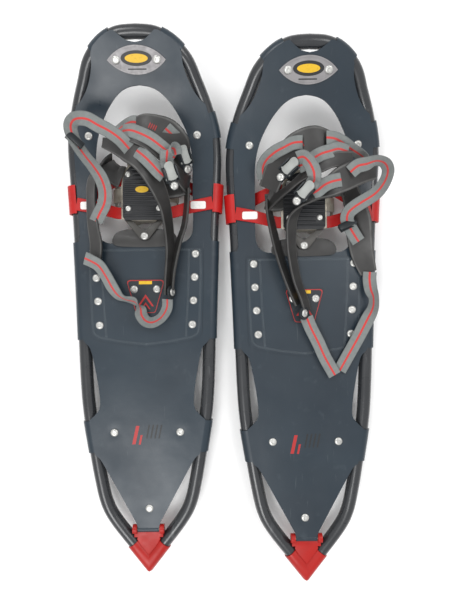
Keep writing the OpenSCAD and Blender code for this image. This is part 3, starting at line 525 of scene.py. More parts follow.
DECK = deck_look()
FRAME = frame_look()
RED_CAP = plastic_look("red_cap", (0.36, 0.008, 0.005), 0.4)
RED_STRAP = plastic_look("red_strap", (0.42, 0.009, 0.008), 0.42)
STEEL = metal_look("plated_steel", (0.40, 0.37, 0.31), 0.42, (0.20, 0.175, 0.14), 0.7)
RIVET = metal_look("rivet", (0.52, 0.52, 0.50), 0.36, (0.34, 0.335, 0.32), 0.75)
BADGE = metal_look("badge", (0.25, 0.24, 0.245), 0.42, (0.17, 0.165, 0.17), 0.2)
BADGE_DARK = plastic_look("badge_dark", (0.022, 0.028, 0.034), 0.4)
HARNESS = harness_look()
HARNESS_EDGE = rubber_look("harness_trim", (0.040, 0.038, 0.034), (0.07, 0.066, 0.06), 0.45)
FOOTBED = rubber_look("footbed_rubber", (0.004, 0.005, 0.007), (0.012, 0.013, 0.016), 0.42)
WEBBING = webbing_look()
BUCKLE = plastic_look("buckle_dark", (0.016, 0.020, 0.023), 0.35)
LEVER = plastic_look("lever_grey", (0.34, 0.355, 0.34), 0.38)
THREAD = print_look("thread", (0.17, 0.20, 0.22), 0.7)
AMBER = print_look("amber", (0.66, 0.40, 0.005))
INK_RED = print_look("ink_red", (0.36, 0.012, 0.012))
INK_BLACK = print_look("ink_black", (0.008, 0.009, 0.01))
LABEL = print_look("label_white", (0.78, 0.76, 0.73), 0.35)


# ---- Frame tube ----

def along_tube(plan):
    """Centre, outward and upward direction at each plan point of the tube's centreline."""
    path = [(x, y, TUBE_Z + rise(y)) for x, y in plan]
    for c, f in zip(path, tangents(path)):
        up = np.array((0, -math.sin(lean(c[1])), math.cos(lean(c[1]))))
        yield np.array(c), unit(np.cross(f, up)), up


def turn(steps):
    """Even angles once round."""
    return np.linspace(0, 2 * math.pi, steps, endpoint=False)


def frame_tube(side):
    half = spline(RAIL, 6)
    plan = [tuple(p) for p in half] + [(-x, y) for x, y in reversed(half[:-1])]
    rings = [[tuple(c + TUBE_R * (out * math.cos(a) + up * math.sin(a)))
              for a in turn(ROUND_STEPS)] for c, out, up in along_tube(plan)]
    piece("frame_tube", side, *skin(rings), FRAME, "shoe", "frame_black", ("frame_tube",))


# ---- Deck ----

def settle(x, y):
    """Small dips of the sheet at its rivets and a slow wave between them."""
    drop = 0.0
    for rx, ry in HEEL_RIVETS + LOW_RIVETS + MID_RIVETS + [TAIL_RIVET]:
        d2 = (x - rx) ** 2 + (y - ry) ** 2
        if d2 < DIP_REACH ** 2:
            drop += 0.75 * math.exp(-d2 / 70) - 0.35 * math.exp(-d2 / 260)
    edge = max(0.0, 1 - (x / max(rail_x(y) - 12, 20)) ** 2)
    wave = 0.9 * edge * math.sin(y / 47) * math.cos(x / 31 + y / 90)
    open_part = min(1.0, max(0.0, (-70 - y) / 40))
    return open_part * wave - drop


def leave_angle(r, q):
    return math.atan2(q[1], q[0]) + math.acos(r / math.hypot(*q)) - 2 * math.pi


def arc(r, start, end, n):
    angles = [start + (end - start) * k / n for k in range(n + 1)]
    return [(r * math.cos(a), r * math.sin(a)) for a in angles]


def tab_section(reach):
    """A tab's section: over the rail from its top, round it and back to its rivet."""
    near, top = 7, TUBE_R
    q_out, q_in = (near - reach - 0.8, top - DECK_T), (near - reach, top)
    quarter = math.pi / 2
    return (arc(DECK_HI, quarter, leave_angle(DECK_HI, q_out), 22)
            + [q_out, (-reach - near, top - DECK_T), (-reach - near, top), q_in]
            + arc(DECK_LO, leave_angle(DECK_LO, q_in), quarter, 22))


def tab(hi, lo, reach):
    plan = rail_piece(hi, lo, max(6, int((hi - lo) / 6)))
    section = [(-a, b) for a, b in tab_section(reach)]
    return skin([[tuple(c + out * a + up * b) for a, b in section]
                 for c, out, up in along_tube(plan)])


def mirrored(part):
    verts, faces = part
    return [(-x, y, z) for x, y, z in verts], [tuple(reversed(f)) for f in faces]


def deck_parts():
    flat, tris = fill(whole(DECK_HALF), [whole(TOE_HOLE_HALF)], 5.0)

    def face(lift):
        def place(x, y):
            return (x, y, lifted(x, y, lift)[2] + settle(x, y))
        return place

    sheet = thick(flat, tris, face(DECK_HI), face(DECK_LO))
    tabs = [tab(*t) for t in TABS]
    # The tail's end goes round the clip's bar
    bar = Matrix.Translation((0, BAR_Y, DECK_TOP - 3)) @ Matrix.Rotation(math.pi / 2, 4, "Y")
    start, end = radians(-80), radians(250)
    loop = arc(4.4, start, end, 20) + arc(2.8, end, start, 20)
    rings = [[tuple(bar @ Vector((a, b, x))) for a, b in loop]
             for x in (-BAR_LOOP_HALF, BAR_LOOP_HALF)]
    area = sum(abs(np.cross(np.subtract(flat[b], flat[a]), np.subtract(flat[c], flat[a]))) / 2
               for a, b, c in tris)
    return joined([sheet, skin(rings)] + tabs + [mirrored(t) for t in tabs]), area


def deck(side, parts, area):
    obj = piece("deck", side, *parts, DECK, "shoe", "deck_slate", ("deck", "deck_collars"),
                angle=50)


def zigzag(path):
    """Thread that steps from side to side along a path, as one fine tube."""
    line = np.array(dense_open(path, STITCH_PITCH))
    points = []
    for i, (p, f) in enumerate(zip(line, tangents(line))):
        side = np.array((-f[1], f[0], 0)) * (STITCH_REACH if i % 2 else -STITCH_REACH)
        points.append(p + side)
    rings = []
    for c, f in zip(points, tangents(points)):
        s = unit(np.cross(f, (0, 0, 1.0)))
        u = np.cross(s, f)
        rings.append([tuple(c + THREAD_R * (s * math.cos(a) + u * math.sin(a)))
                      for a in turn(6)])
    return skin(rings)


def dense_open(path, step):
    out = []
    for a, b in zip(path, path[1:]):
        n = max(1, round(math.dist(a, b) / step))
        out += [tuple(np.array(a) + (np.array(b) - np.array(a)) * k / n) for k in range(n)]
    return out + [tuple(path[-1])]


def heel_pad(side):
    flat, tris = fill(whole(PAD_HALF), [], 6.0)
    verts, faces = thick(flat, tris,
                         lambda x, y: (x, y, PAD_TOP + settle(x, y)),
                         lambda x, y: (x, y, DECK_TOP + settle(x, y)))
    obj = piece("heel_pad", side, verts, faces, DECK, "shoe", "deck_slate", ("heel_pad",))
    z = PAD_TOP + 0.15
    edge = [(80, 74, z), (80.5, 40, z), (78, -30, z), (76, -47, z), (67, -53, z), (35, -59, z),
            (0, -63, z)]
    seam = [(64, 74, z), (62, 10, z), (58, -52, z)]
    lines = [edge, [(-x, y, z) for x, y, z in edge], [(80, 74, z), (-80, 74, z)],
             seam, [(-x, y, z) for x, y, z in seam]]
    stitches = [zigzag(l) for l in lines]
    piece("pad_stitching", side, *joined(stitches), THREAD, "shoe", "deck_slate")


RIVET_HEAD = [(0, -1.2), (5.5, -0.2), (5.6, 0.4), (5.1, 1.05), (3.9, 1.55), (2.9, 1.75), (2.3, 1.7),
              (1.9, 1.25), (0, 1.1)]
RIVET_TAIL = [(0, -1.1), (3.4, -1.0), (4.0, -0.5), (4.0, 0.0), (2.5, 0.05), (2.5, 3), (0, 3)]
# Rivet places of the deck, with the heights of their heads and tails
FLAT_RIVETS = ((HEEL_RIVETS, PAD_TOP, 32.9), (LOW_RIVETS, DECK_TOP, 34.9),
               (BADGE_RIVETS, PAD_TOP + 1, 34.6))


def at(x, y, z, tilt=0.0):
    return Matrix.Translation((x, y, z)) @ Matrix.Rotation(tilt, 4, "X")


def deck_rivets(side):
    parts = []
    for places, head_z, tail_z in FLAT_RIVETS:
        for x, y in places:
            parts += [lathe(RIVET_HEAD, at(x, y, head_z)), lathe(RIVET_TAIL, at(x, y, tail_z))]
    parts.append(lathe(RIVET_HEAD, at(*TAIL_RIVET, DECK_TOP)))
    for x, y in MID_RIVETS:
        base = at(x, y, TUBE_Z + rise(y), lean(y))
        parts.append(lathe(RIVET_HEAD, base @ Matrix.Translation((0, 0, DECK_HI))))
        parts.append(lathe(RIVET_TAIL, base @ Matrix.Translation((0, 0, TUBE_R - DECK_T))))
    for s in (1, -1):
        parts.append(lathe(RIVET_HEAD, on_nose(NOSE_BADGE_Y)
                           @ Matrix.Translation((s * 27.5, 0, BADGE_T))))
    piece("deck_rivets", side, *joined(parts), RIVET, "shoe", "rivet_bright", ("deck_rivets",))


# ---- Badges and prints ----

def slab(filled, z0, z1, pose):
    """Solid of a filled outline between two heights of a pose."""
    return thick(*filled, lambda x, y: tuple(pose @ Vector((x, y, z1))),
                 lambda x, y: tuple(pose @ Vector((x, y, z0))))


def plate(outline, z0, z1, pose, step=2.5):
    return slab(fill(outline, [], step), z0, z1, pose)


def ring_plate(outline, width, z0, z1, pose):
    """Raised rim of a given width inside an outline."""
    q = np.array(outline, float)
    hole = q * (1 - width / np.abs(q).max(0))
    return slab(fill([tuple(p) for p in q], [[tuple(p) for p in hole]], 2.0), z0, z1, pose)


def lens(a, b):
    """Pointed oval of two arcs, by its half length and half height."""
    r = (a * a + b * b) / (2 * b)
    top = [(x, math.sqrt(r * r - x * x) - (r - b)) for x in np.linspace(a, -a, 24)]
    return top + [(-x, -y) for x, y in top[1:-1]]


def oval(a, b):
    return [(a * math.cos(t), b * math.sin(t)) for t in turn(40)]


def rectangle(w, h, x=0.0, y=0.0, slant=0.0):
    return [(x - w / 2 - slant, y - h / 2), (x + w / 2 - slant, y - h / 2),
            (x + w / 2 + slant, y + h / 2), (x - w / 2 + slant, y + h / 2)]


def rounded_box(w, h, r):
    corners = [(w / 2 - r, h / 2 - r, 0), (r - w / 2, h / 2 - r, 90),
               (r - w / 2, r - h / 2, 180), (w / 2 - r, r - h / 2, 270)]
    return [(cx + a, cy + b) for cx, cy, start in corners
            for a, b in arc(r, radians(start), radians(start + 90), 5)]


def shifted(points, x, y):
    return [(a + x, b + y) for a, b in points]


def nose_badge(side):
    pose = on_nose(NOSE_BADGE_Y)
    middle, below = (pose @ Matrix.Translation((0, y, 0)) for y in (2, -11.5))
    outline = lens(39.5, 18.3)
    body = [plate(outline, 0, BADGE_T, pose), ring_plate(outline, 2.2, 1.1, 1.7, pose)]
    piece("nose_badge", side, *joined(body), BADGE, "shoe", "badge_grey", ("nose_badge",))
    dark = [plate(oval(21, 9.6), 1.15, 1.35, middle), plate(rectangle(25, 1.6), 1.15, 1.4, below)]
    piece("nose_badge_field", side, *joined(dark), INK_BLACK, "shoe", "badge_grey")
    spot = plate(oval(15.5, 5.6), 1.3, 1.5, middle)
    piece("nose_badge_spot", side, *spot, AMBER, "shoe", "badge_grey")


def heel_badge(side):
    half = ([(0, 32)] + bend([(24, 32), (27.5, 30.5), (28.3, 27)])
            + bend([(16.5, -14), (15, -17.5), (12, -19)]) + [(0, -19)])
    body = plate(whole(half), PAD_TOP, PAD_TOP + 1, IDENTITY)
    piece("heel_badge", side, *body, BADGE_DARK, "shoe", "badge_dark", ("heel_badge",))
    z = PAD_TOP + 0.95
    peaks = [plate(outline, z, z + 0.2, IDENTITY) for outline in (
        [(-12, -8), (-9, -8), (0, 5), (9, -8), (12, -8), (0, 9.5)],
        [(-7, -12), (-4.6, -12), (0, -5.4), (4.6, -12), (7, -12), (0, -2)])]
    inset = [(x * 0.94, (y - 6) * 0.94 + 6) for x, y in whole(half)]
    rim = ring_plate(inset, 1.3, z, z + 0.15, IDENTITY)
    piece("heel_badge_peaks", side, *joined(peaks + [rim]), INK_RED, "shoe", "badge_dark")
    bar = plate(rectangle(19, 4.6, 0, 26.5), z, z + 0.2, IDENTITY)
    piece("heel_badge_bar", side, *bar, AMBER, "shoe", "badge_dark")


def tail_marks(side):
    """Plain slanted strokes printed near the tail, kept upright on both shoes."""
    flip = 1 if side == "left" else -1

    def stroke(w, h, x, y, slant):
        box = [(flip * a, b) for a, b in rectangle(w, h, x, y, slant)]
        flat, tris = fill(box, [], 2.5)
        return thick(flat, tris, lambda a, b: (a, b, DECK_TOP + settle(a, b) + 0.12),
                     lambda a, b: (a, b, DECK_TOP + settle(a, b) - 0.3))

    red = [stroke(5, 27, -17, -196, 3), stroke(3, 14, -10, -203, 1.5)]
    black = [stroke(2.2, 20, x, -191, 2) for x in (1, 7, 13, 19)]
    piece("tail_marks_red", side, *joined(red), INK_RED, "shoe", "deck_slate")
    piece("tail_marks_black", side, *joined(black), INK_BLACK, "shoe", "deck_slate")


# ---- Suspension straps, which stretch between shoe and binding ----

def half_thickness(v, t, rim=0.0):
    """Half thickness of a flat strip at v across, with round edges and a raised rim if asked."""
    a = abs(v)
    edge = math.sqrt(max(0.0, 1 - max(0.0, (a - 0.93) / 0.07) ** 2))
    swell = rim * math.exp(-((a - 0.86) / 0.09) ** 2)
    return (t / 2 + swell) * (0.12 + 0.88 * edge)


# Places across a strip, from edge to edge, where its section has a point
STRIP = (-1, -0.985, -0.93, -0.8, -0.5, -0.15, 0.15, 0.5, 0.8, 0.93, 0.985, 1)


def ribbon(rows, t, rim=0.0, crown=0.0):
    """Strip through rows [x, y, z, across x, y, z, width]: mesh, attributes and length."""
    p = spline(rows, SPAN_STEPS)
    rings, along, across = [], [], []
    length = 0.0
    for i, (row, f) in enumerate(zip(p, tangents(p[:, :3]))):
        if i:
            length += float(np.linalg.norm(row[:3] - p[i - 1][:3]))
        s = unit(row[3:6] - f * np.dot(row[3:6], f))
        u = np.cross(s, f)
        ring, va = [], []
        for v, sign in [(v, 1) for v in STRIP] + [(v, -1) for v in STRIP[-2:0:-1]]:
            lift = sign * half_thickness(v, t, rim) + crown * (1 - v * v)
            ring.append(tuple(row[:3] + s * v * row[6] / 2 + u * lift))
            va.append(v)
        rings.append(ring)
        along += [length * MM] * len(ring)
        across += va
    verts, faces = skin(rings)
    return (verts, [tuple(reversed(f)) for f in faces]), {"along": along, "across": across}, length


def level(rows):
    """Full rows from [x, y, z, width], with their across direction along Y."""
    return [(x, y, z, 0, 1, 0, width) for x, y, z, width in rows]


UPPER_RUN = level([(-99, 142, DECK_TOP + 1.7, 19), (-72, 137, DECK_TOP + 1.7, 18),
                   (-50, 131, DECK_TOP + 1.9, 17), (-38, 128, DECK_TOP + 2.1, 17),
                   (-27.5, 128, DECK_TOP + 2.1, 17)])
LOWER_RUN = level([(-93.5, 155, 16.4, 22), (-86, 158, 16.6, 20), (-74, 163, 20.6, 18),
                   (-60, 169, 27, 17), (-46, 174, 34.5, 16), (-35, 175, 39.2, 16),
                   (-27.5, 175, 40.4, 16)])


def suspension(side):
    r_in, r_out = DECK_HI + 0.3, DECK_HI + 2.8
    start, end = radians(92), radians(-125)
    section = arc(r_out, start, end, 26) + arc(r_in, end, start, 26)
    rings = []
    path = [(x, y, TUBE_Z) for x, y in rail_piece(170, 129, 10)]
    for c, f in zip(path, tangents(path)):
        out = unit(np.cross(f, (0, 0, 1.0)))
        rings.append([tuple(np.array(c) - out * a + np.array((0, 0, b))) for a, b in section])
    for sign, where in ((-1, "outer"), (1, "inner")):
        runs = [ribbon([(-sign * r[0], *r[1:]) for r in rows], SUSPENSION_T, rim=0.15)[0]
                for rows in (UPPER_RUN, LOWER_RUN)]
        collar = skin(rings) if sign == 1 else mirrored(skin(rings))
        obj = piece(f"suspension_{where}", side, *joined([collar, *runs]), RED_STRAP, None,
                    "strap_red", ("suspension_strap",))
        put(side, (sign * BLEND_START, 150, 33))
        put(side, (sign * BLEND_END, 150, 33))
        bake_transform(obj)
    # Blank labels on the straps, near the rails
    z = DECK_TOP + 3.0
    spots = [(78, 138.5)] + ([(-82, 139.5)] if side == "left" else [])
    for name, box, low, high, look in (
            ("strap_label", rounded_box(22, 11, 2.5), z - 0.3, z + 0.3, LABEL),
            ("strap_label_rim", rounded_box(24.5, 13.5, 3.5), z - 0.4, z + 0.05, INK_RED)):
        plates = [plate(shifted(box, x, y), low, high, IDENTITY) for x, y in spots]
        piece(name, side, *joined(plates), look, "shoe", "strap_red")


# ---- Binding platform ----

FOOT_HALF = (bend([(0, 199), (12, 197), (22, 190), (28, 179), (30, 165)])
             + [(30, 121), (27, 116.5), (0, 116.5)])
BOLTS = [(x, y) for x in (22, -22) for y in (182, 133)]
BOLT_HEAD = [(0, -0.6), (4.2, -0.3), (4.3, 0.6), (3.7, 1.7), (2.7, 2.1), (2.0, 2.1), (1.9, 1.2),
             (0, 1.2)]
RIB = [(1.7, -0.4), (1.45, 0.7), (0.9, 1.25), (0, 1.4), (-0.9, 1.25), (-1.45, 0.7), (-1.7, -0.4)]
RIB_COUNT, FIRST_RIB_Y, RIB_PITCH = 13, 122.5, 5.6
# Ribs get shorter in front of a y, and stop beside the bolts
RIB_REACH, RIB_TAPER_Y, BOLT_ROOM = 29, 170, 5.5


def footbed(side):
    flat, tris = fill(whole(FOOT_HALF), [], 3.0)

    def top(x, y):
        near = min(math.hypot(x - bx, y - by) for bx, by in BOLTS)
        dip = 0.5 * math.exp(-(near / 6.5) ** 4)
        return (x, y, FOOT_Z + FOOT_T - dip)

    base = thick(flat, tris, top, lambda x, y: (x, y, FOOT_Z))
    ribs = []
    for i in range(RIB_COUNT):
        y = FIRST_RIB_Y + i * RIB_PITCH
        reach = RIB_REACH - max(0, y - RIB_TAPER_Y) * 0.62
        spans = [(-reach, reach)]
        if min(abs(y - by) for _, by in BOLTS) < BOLT_ROOM:
            spans = [(-16, 16)] + ([(-reach, -27.4), (27.4, reach)] if reach > 28 else [])
        ribs += [skin([[(x, y + p, FOOT_Z + FOOT_T + q) for p, q in RIB] for x in span])
                 for span in spans]
    piece("footbed", side, *joined([base] + ribs), FOOTBED, "binding", "footbed_black",
          ("footbed",), angle=50)
    spot = plate(shifted(oval(9.5, 4.6), -2, 160), FOOT_Z + FOOT_T + 1.1, FOOT_Z + FOOT_T + 1.6,
                 IDENTITY, 1.6)
    piece("footbed_spot", side, *spot, AMBER, "binding", "footbed_black")


# ---- Harness: rows for the left shoe and the right shoe ----

TOE_CUP = (
    [(61, 180, 50, .1, .9, .2, 26), (58, 198, 70, .3, .9, .2, 30), (52, 212, 82, .4, .85, .2, 40),
     (38, 226, 90, .5, .8, .1, 42), (21, 235, 94, .4, .9, 0, 34), (8, 240, 93, .2, .95, 0, 26),
     (-2, 241, 90, .1, 1, 0, 18)],
    [(51, 175, 47, .6, .8, .1, 30), (42, 198, 64, .5, .8, .1, 34), (28, 214, 80, .4, .85, .1, 36),
     (12, 225, 90, .2, .95, 0, 40), (-8, 230, 94, 0, 1, 0, 40), (-26, 230, 90, -.1, 1, 0, 30),
     (-40, 228, 82, -.2, 1, 0, 20)])
WRAP = (
    [(-53, 222, 68, .3, .9, .3, 14), (-28, 212, 85, .35, .9, .1, 26),
     (-8, 201, 96, .5, .85, 0, 34), (7, 187, 99, .7, .7, -.1, 30), (18, 170, 95, .8, .5, -.3, 26),
     (27, 152, 85, .75, .3, -.5, 24), (33, 133, 72, .6, .2, -.75, 22),
     (36, 111, 62, .5, .1, -.85, 22), (38, 72, 53, .5, 0, -.85, 20),
     (35, 30, 52, .5, 0, -.85, 20), (34, 8, 52, .5, 0, -.85, 18)],
    [(-94, 194, 76, -.3, .9, 0, 26), (-71, 189, 85, -.3, .9, 0, 34),
     (-48, 179, 92, -.4, .9, 0, 36), (-28, 167, 94, -.5, .8, 0, 28),
     (-8, 155, 91, -.6, .7, -.2, 22), (9, 144, 83, -.7, .6, -.4, 20),
     (20, 129, 72, -.8, .3, -.5, 20), (21, 107, 62, -.75, 0, -.65, 20),
     (19, 79, 55, -.7, -.1, -.7, 20), (12, 43, 52, -.7, -.2, -.7, 20),
     (2, 15, 52, -.7, -.2, -.7, 20), (-2, -1, 52, -.7, -.2, -.7, 18)])
FINGER = (
    [(-14, 222, 96, .4, .9, 0, 16), (-2, 217, 100, .4, .9, 0, 14), (18, 206, 102, .5, .85, 0, 14),
     (35, 192, 98, .6, .8, 0, 14), (50, 178, 84, .6, .7, .3, 16), (62, 167, 62, .3, .9, .3, 24),
     (65, 165, 46, .1, .9, .2, 30)],
    [(-60, 205, 86, -.2, 1, 0, 24), (-34, 203, 95, -.3, .95, 0, 20),
     (-14, 194, 97, -.4, .9, 0, 18), (6, 184, 92, -.5, .85, 0, 18),
     (24, 171, 78, -.5, .8, -.2, 22), (43, 159, 56, -.4, .85, -.3, 28),
     (55, 154, 46, -.2, .9, -.2, 34)])
INNER_ARM = (
    [(63, 159, 53, .3, 0, .9, 20), (62, 137, 52.5, .35, 0, .9, 20), (58, 108, 51, .4, 0, .9, 20),
     (49, 80, 51, .45, 0, .85, 20), (41, 44, 51, .45, 0, .85, 20), (38, 15, 51, .45, 0, .85, 18)],
    [(53, 159, 52, .3, 0, .9, 20), (50, 137, 51, .5, 0, .85, 20), (44, 108, 52, .6, 0, .8, 20),
     (35, 72, 52, .6, 0, .8, 20), (21, 32, 51, .6, 0, .8, 20), (11, 8, 51, .6, 0, .8, 18)])
OUTER_ARM = (
    [(-44, 204, 54, .6, .7, .4, 22), (-57, 192, 61.5, .7, .6, .5, 22),
     (-69, 174, 63.5, .7, .3, .6, 22), (-73, 144, 59, .7, 0, .7, 22),
     (-72, 109, 53, .75, 0, .6, 24), (-69, 81, 49, .8, 0, .5, 24), (-72, 55, 46, .85, .1, .4, 20)],
    [(-62, 177, 54, -.7, .5, .3, 24), (-69, 151, 59, -.85, .2, .4, 30),
     (-75, 127, 58, -.9, .1, .4, 36), (-78, 103, 53, -.9, .1, .35, 36),
     (-84, 76, 48, -.9, .15, .3, 32), (-92, 53, 46, -.95, .15, .2, 24)])
OUTER_WING = (
    [(-31, 178, 47.5, 0, 1, 0, 34), (-40, 182, 49, 0, 1, .1, 30), (-47, 189, 53, .3, .9, .2, 26),
     (-51, 196, 57, .5, .8, .3, 24)],
    [(-31, 176, 47.5, 0, 1, 0, 30), (-42, 176, 48.5, 0, 1, 0, 28), (-53, 176, 51, 0, 1, .1, 26),
     (-61, 172, 56, -.3, .9, .2, 26)])
INNER_WING = (
    [(31, 166, 47.5, 0, 1, 0, 40), (45, 168, 47.5, 0, 1, 0, 40), (57, 170, 48, 0, 1, 0, 38),
     (64, 172, 49, 0, 1, .1, 34)],
    [(31, 162, 47.5, 0, 1, 0, 34), (38, 160, 47.5, 0, 1, 0, 34), (46, 160, 48, 0, 1, 0, 34),
     (53, 162, 49, 0, 1, 0, 34)])
TOE_WEB_OUTER = (
    [(-48, 218, 50, -.7, .5, -.5), (-43, 230, 58, -.4, .8, -.5), (-32, 238, 68, .4, .8, .3),
     (-20, 242, 79, .4, .85, .2), (-8, 243, 88, .2, .95, 0), (4, 240, 89.5, .1, 1, 0),
     (12, 237, 90, .1, 1, 0)],
    [(-23, 232, 98, -.1, 1, 0), (-34, 232, 94, -.3, .95, 0), (-45, 230, 86, -.6, .8, .2),
     (-58, 223, 81, -.5, .5, .6), (-69, 217, 79, -.4, .4, .8), (-78, 211, 77, -.3, .3, .9),
     (-83, 202, 76, -.2, .3, .9)])
TOE_WEB_INNER = (
    [(38, 232, 94, .7, .6, .3), (46, 226, 88, .7, .5, .4), (53, 222, 79, .7, .4, .5),
     (59, 217, 70, .7, .3, .6), (62, 206, 60, .6, .2, .7)],
    [(9, 227, 96, .2, 1, 0), (21, 227, 92, .2, .95, 0), (33, 223, 86, .4, .9, 0),
     (44, 219, 79, .5, .8, .2), (55, 212, 69, .7, .5, .4), (60, 203, 58, .8, .3, .5),
     (58, 190, 49, .8, .2, .5)])
FRONT_RUN = (
    [(-20, 229, 93, .3, .9, .1), (-8, 228, 99, .3, .95, 0), (6, 222, 103, .4, .9, 0),
     (20, 214, 106, .5, .85, 0), (33, 204, 106, .6, .8, -.1), (43, 196, 103, .6, .75, -.2),
     (50, 191, 98, .6, .7, -.3)],
    [(-54, 216, 86, -.4, .9, 0), (-40, 218, 93, -.2, 1, 0), (-28, 214, 98, 0, 1, 0),
     (-14, 209, 101, .2, .95, 0), (-2, 202, 101, .3, .9, 0), (10, 196, 98, .4, .9, 0),
     (15, 194, 96, .4, .85, 0)])
REAR_RUN = (
    [(-5, 205, 94, .6, .8, 0), (0, 201, 98, .6, .8, 0), (11, 191, 105, .65, .75, 0),
     (20, 182, 105, .7, .7, 0), (29, 172, 103, .7, .7, -.1), (36, 166, 100, .7, .6, -.2)],
    [(-42, 176, 96, -.3, .95, 0), (-30, 173, 99, -.2, .95, 0), (-19, 168, 100, .2, .95, 0),
     (-10, 161, 99, .3, .9, 0), (-4, 158, 97, .4, .9, 0)])
BRIDGE = (
    [(52, 193, 105, .7, .6, .2), (51, 199, 110, .7, .6, .2), (47, 199, 115, .6, .6, .3),
     (43, 194, 117, .6, .5, .2), (41, 188, 113.5, .7, .45, 0), (40, 185, 108, .8, .4, -.25),
     (42, 178.4, 105.1, .85, .4, -.35)],
    [(17, 203, 105, .3, .7, .5), (10, 203, 110, -.1, .8, .6), (3, 195, 113, -.6, .5, .5),
     (-2, 184, 114, -.8, 0, .3), (-3.5, 176.5, 112, -.8, -.45, .2),
     (-4.3, 173, 106.2, -.72, -.65, .2), (-0.6, 167.9, 102.4, -.68, -.7, .2)])
LOOP = (
    [(-9, 202, 93, .8, .5, 0), (-14, 208, 98, .8, .55, 0), (-22, 216, 104, .6, .8, 0),
     (-35, 225, 107, .5, .85, 0), (-49, 232, 109, .45, .85, .1), (-64, 240, 110, .2, .9, .3),
     (-79, 241, 108, -.4, .7, .6), (-87, 235, 103, -.7, .3, .6), (-87, 224, 97, -.7, -.2, .6),
     (-82, 212, 91, -.6, -.4, .6), (-73, 198, 86, -.6, -.4, .6), (-63, 185, 81, -.7, -.35, .5),
     (-54, 170, 76, -.9, -.1, .3), (-50, 154, 71, -.95, 0, .2), (-52, 138, 67, -.9, .2, .2),
     (-60, 123, 64, -.85, .4, .3), (-66, 113, 60, -.8, .4, .3)],
    [(-55, 186, 96, .6, .8, 0), (-64, 193, 100, .5, .85, .1), (-75, 195, 103, .2, .8, .5),
     (-88, 199, 103, 0, .5, .85), (-100, 197, 99, -.4, .3, .85), (-106, 189, 94, -.6, 0, .8),
     (-105, 178, 89, -.6, -.3, .7), (-99, 167, 85, -.6, -.6, .5), (-90, 158, 82, -.5, -.8, .3),
     (-75, 149, 79, -.5, -.85, .1), (-64, 142, 77, -.5, -.8, .1), (-57, 135, 74, -.7, -.6, .2),
     (-56, 126, 70, -.9, -.3, .3), (-61, 116, 66, -.8, .4, .3), (-68, 106, 62, -.8, .5, .3),
     (-75, 97, 58, -.8, .5, .2)])
HEEL = (
    [(-84, 62, 53, .5, .8, .3), (-73, 57, 58, .6, .7, .4), (-62, 50, 60, .8, .5, .3),
     (-53, 36, 58, .9, .2, .3), (-45, 20, 55, .9, .3, .3), (-37, 9, 53, .6, .5, .6),
     (-26, 3, 54, .1, .4, .9), (-12, -1, 57, .1, .6, .8), (-5, -10, 58, -.6, .3, .8),
     (-4, -20, 55, -.8, 0, .6), (2, -29, 52, -.5, -.6, .6), (12, -31, 50, 0, -.8, .6),
     (24, -24, 50, .5, -.6, .6), (32, -11, 51, .8, -.3, .5), (33, 2, 52, .85, 0, .5)],
    [(-93, 54, 50, -.95, .1, .2), (-92, 43, 51, -.95, .1, .2), (-93, 29, 54, -.8, .2, .5),
     (-96, 17, 57, -.5, .1, .85), (-95, 2, 56, -.6, -.2, .8), (-87, -16, 52, -.85, -.4, .3),
     (-75, -41, 48, -.87, -.48, 0), (-62, -66, 44, -.87, -.48, 0), (-50, -88, 42, -.87, -.48, 0)])
HEEL_BACK = (
    None,
    [(-42, -94, 45.5, -.87, .45, 0), (-28, -69, 47, -.9, .42, 0), (-18, -47, 49, -.9, .4, 0),
     (-7, -25, 51, -.9, .4, 0), (-1, -10, 52, -.9, .4, 0)])


def panel(name, side, row_sets, node, rim):
    """Moulded strap of one or more bands, with raised edges."""
    strips = [ribbon(rows, PANEL_T, rim) for rows in row_sets]
    data = {key: sum((strip[1][key] for strip in strips), []) for key in ("along", "across")}
    piece(name, side, *joined([strip[0] for strip in strips]), HARNESS, "binding",
          "harness_black", [node] if node else (), data, BAND_ANGLE)


def tape(name, side, rows, node, held, rests_on):
    """One length of webbing."""
    mesh, data, length = ribbon([(*r, WEB_W) for r in rows], WEB_T, crown=-0.3)
    obj = piece(name, side, *mesh, WEBBING, "binding", "webbing_grey", [node] if node else (),
                data, BAND_ANGLE)
    [f"{side}_{r}_look" for r in rests_on]


# Name, bands, replaced node and height of the raised edges
PANELS = (("toe_cup", [TOE_CUP], "toe_cup", 0.5), ("instep_wrap", [WRAP], "instep_wrap", 0.6),
          ("instep_finger", [FINGER], None, 0.4),
          ("outer_arm", [OUTER_ARM, OUTER_WING], "outer_arm", 0.6),
          ("inner_arm", [INNER_ARM, INNER_WING], "inner_arm", 0.7))
# Name, route, replaced node, how it is held and what it rests on
TAPES = (("toe_web_outer", TOE_WEB_OUTER, "toe_webbing", "stretched", "toe_cup"),
         ("toe_web_inner", TOE_WEB_INNER, None, "stretched", "toe_cup"),
         ("front_run", FRONT_RUN, "instep_webbing", "stretched", "instep_finger"),
         ("bridge_run", BRIDGE, None, "stretched", "front_lever"),
         ("rear_run", REAR_RUN, None, "stretched", "instep_wrap"),
         ("free_loop", LOOP, "webbing_loop", "draped", "instep_wrap"),
         ("heel_strap", HEEL, "heel_strap", "draped", "outer_arm", "heel_pad"),
         ("heel_strap_back", HEEL_BACK, None, "draped", "heel_pad"))


def harness(side, k):
    for name, bands, node, rim in PANELS:
        panel(name, side, [band[k] for band in bands], node, rim)
    for name, routes, node, held, *rests_on in TAPES:
        if routes[k]:
            tape(name, side, routes[k], node, held, rests_on)


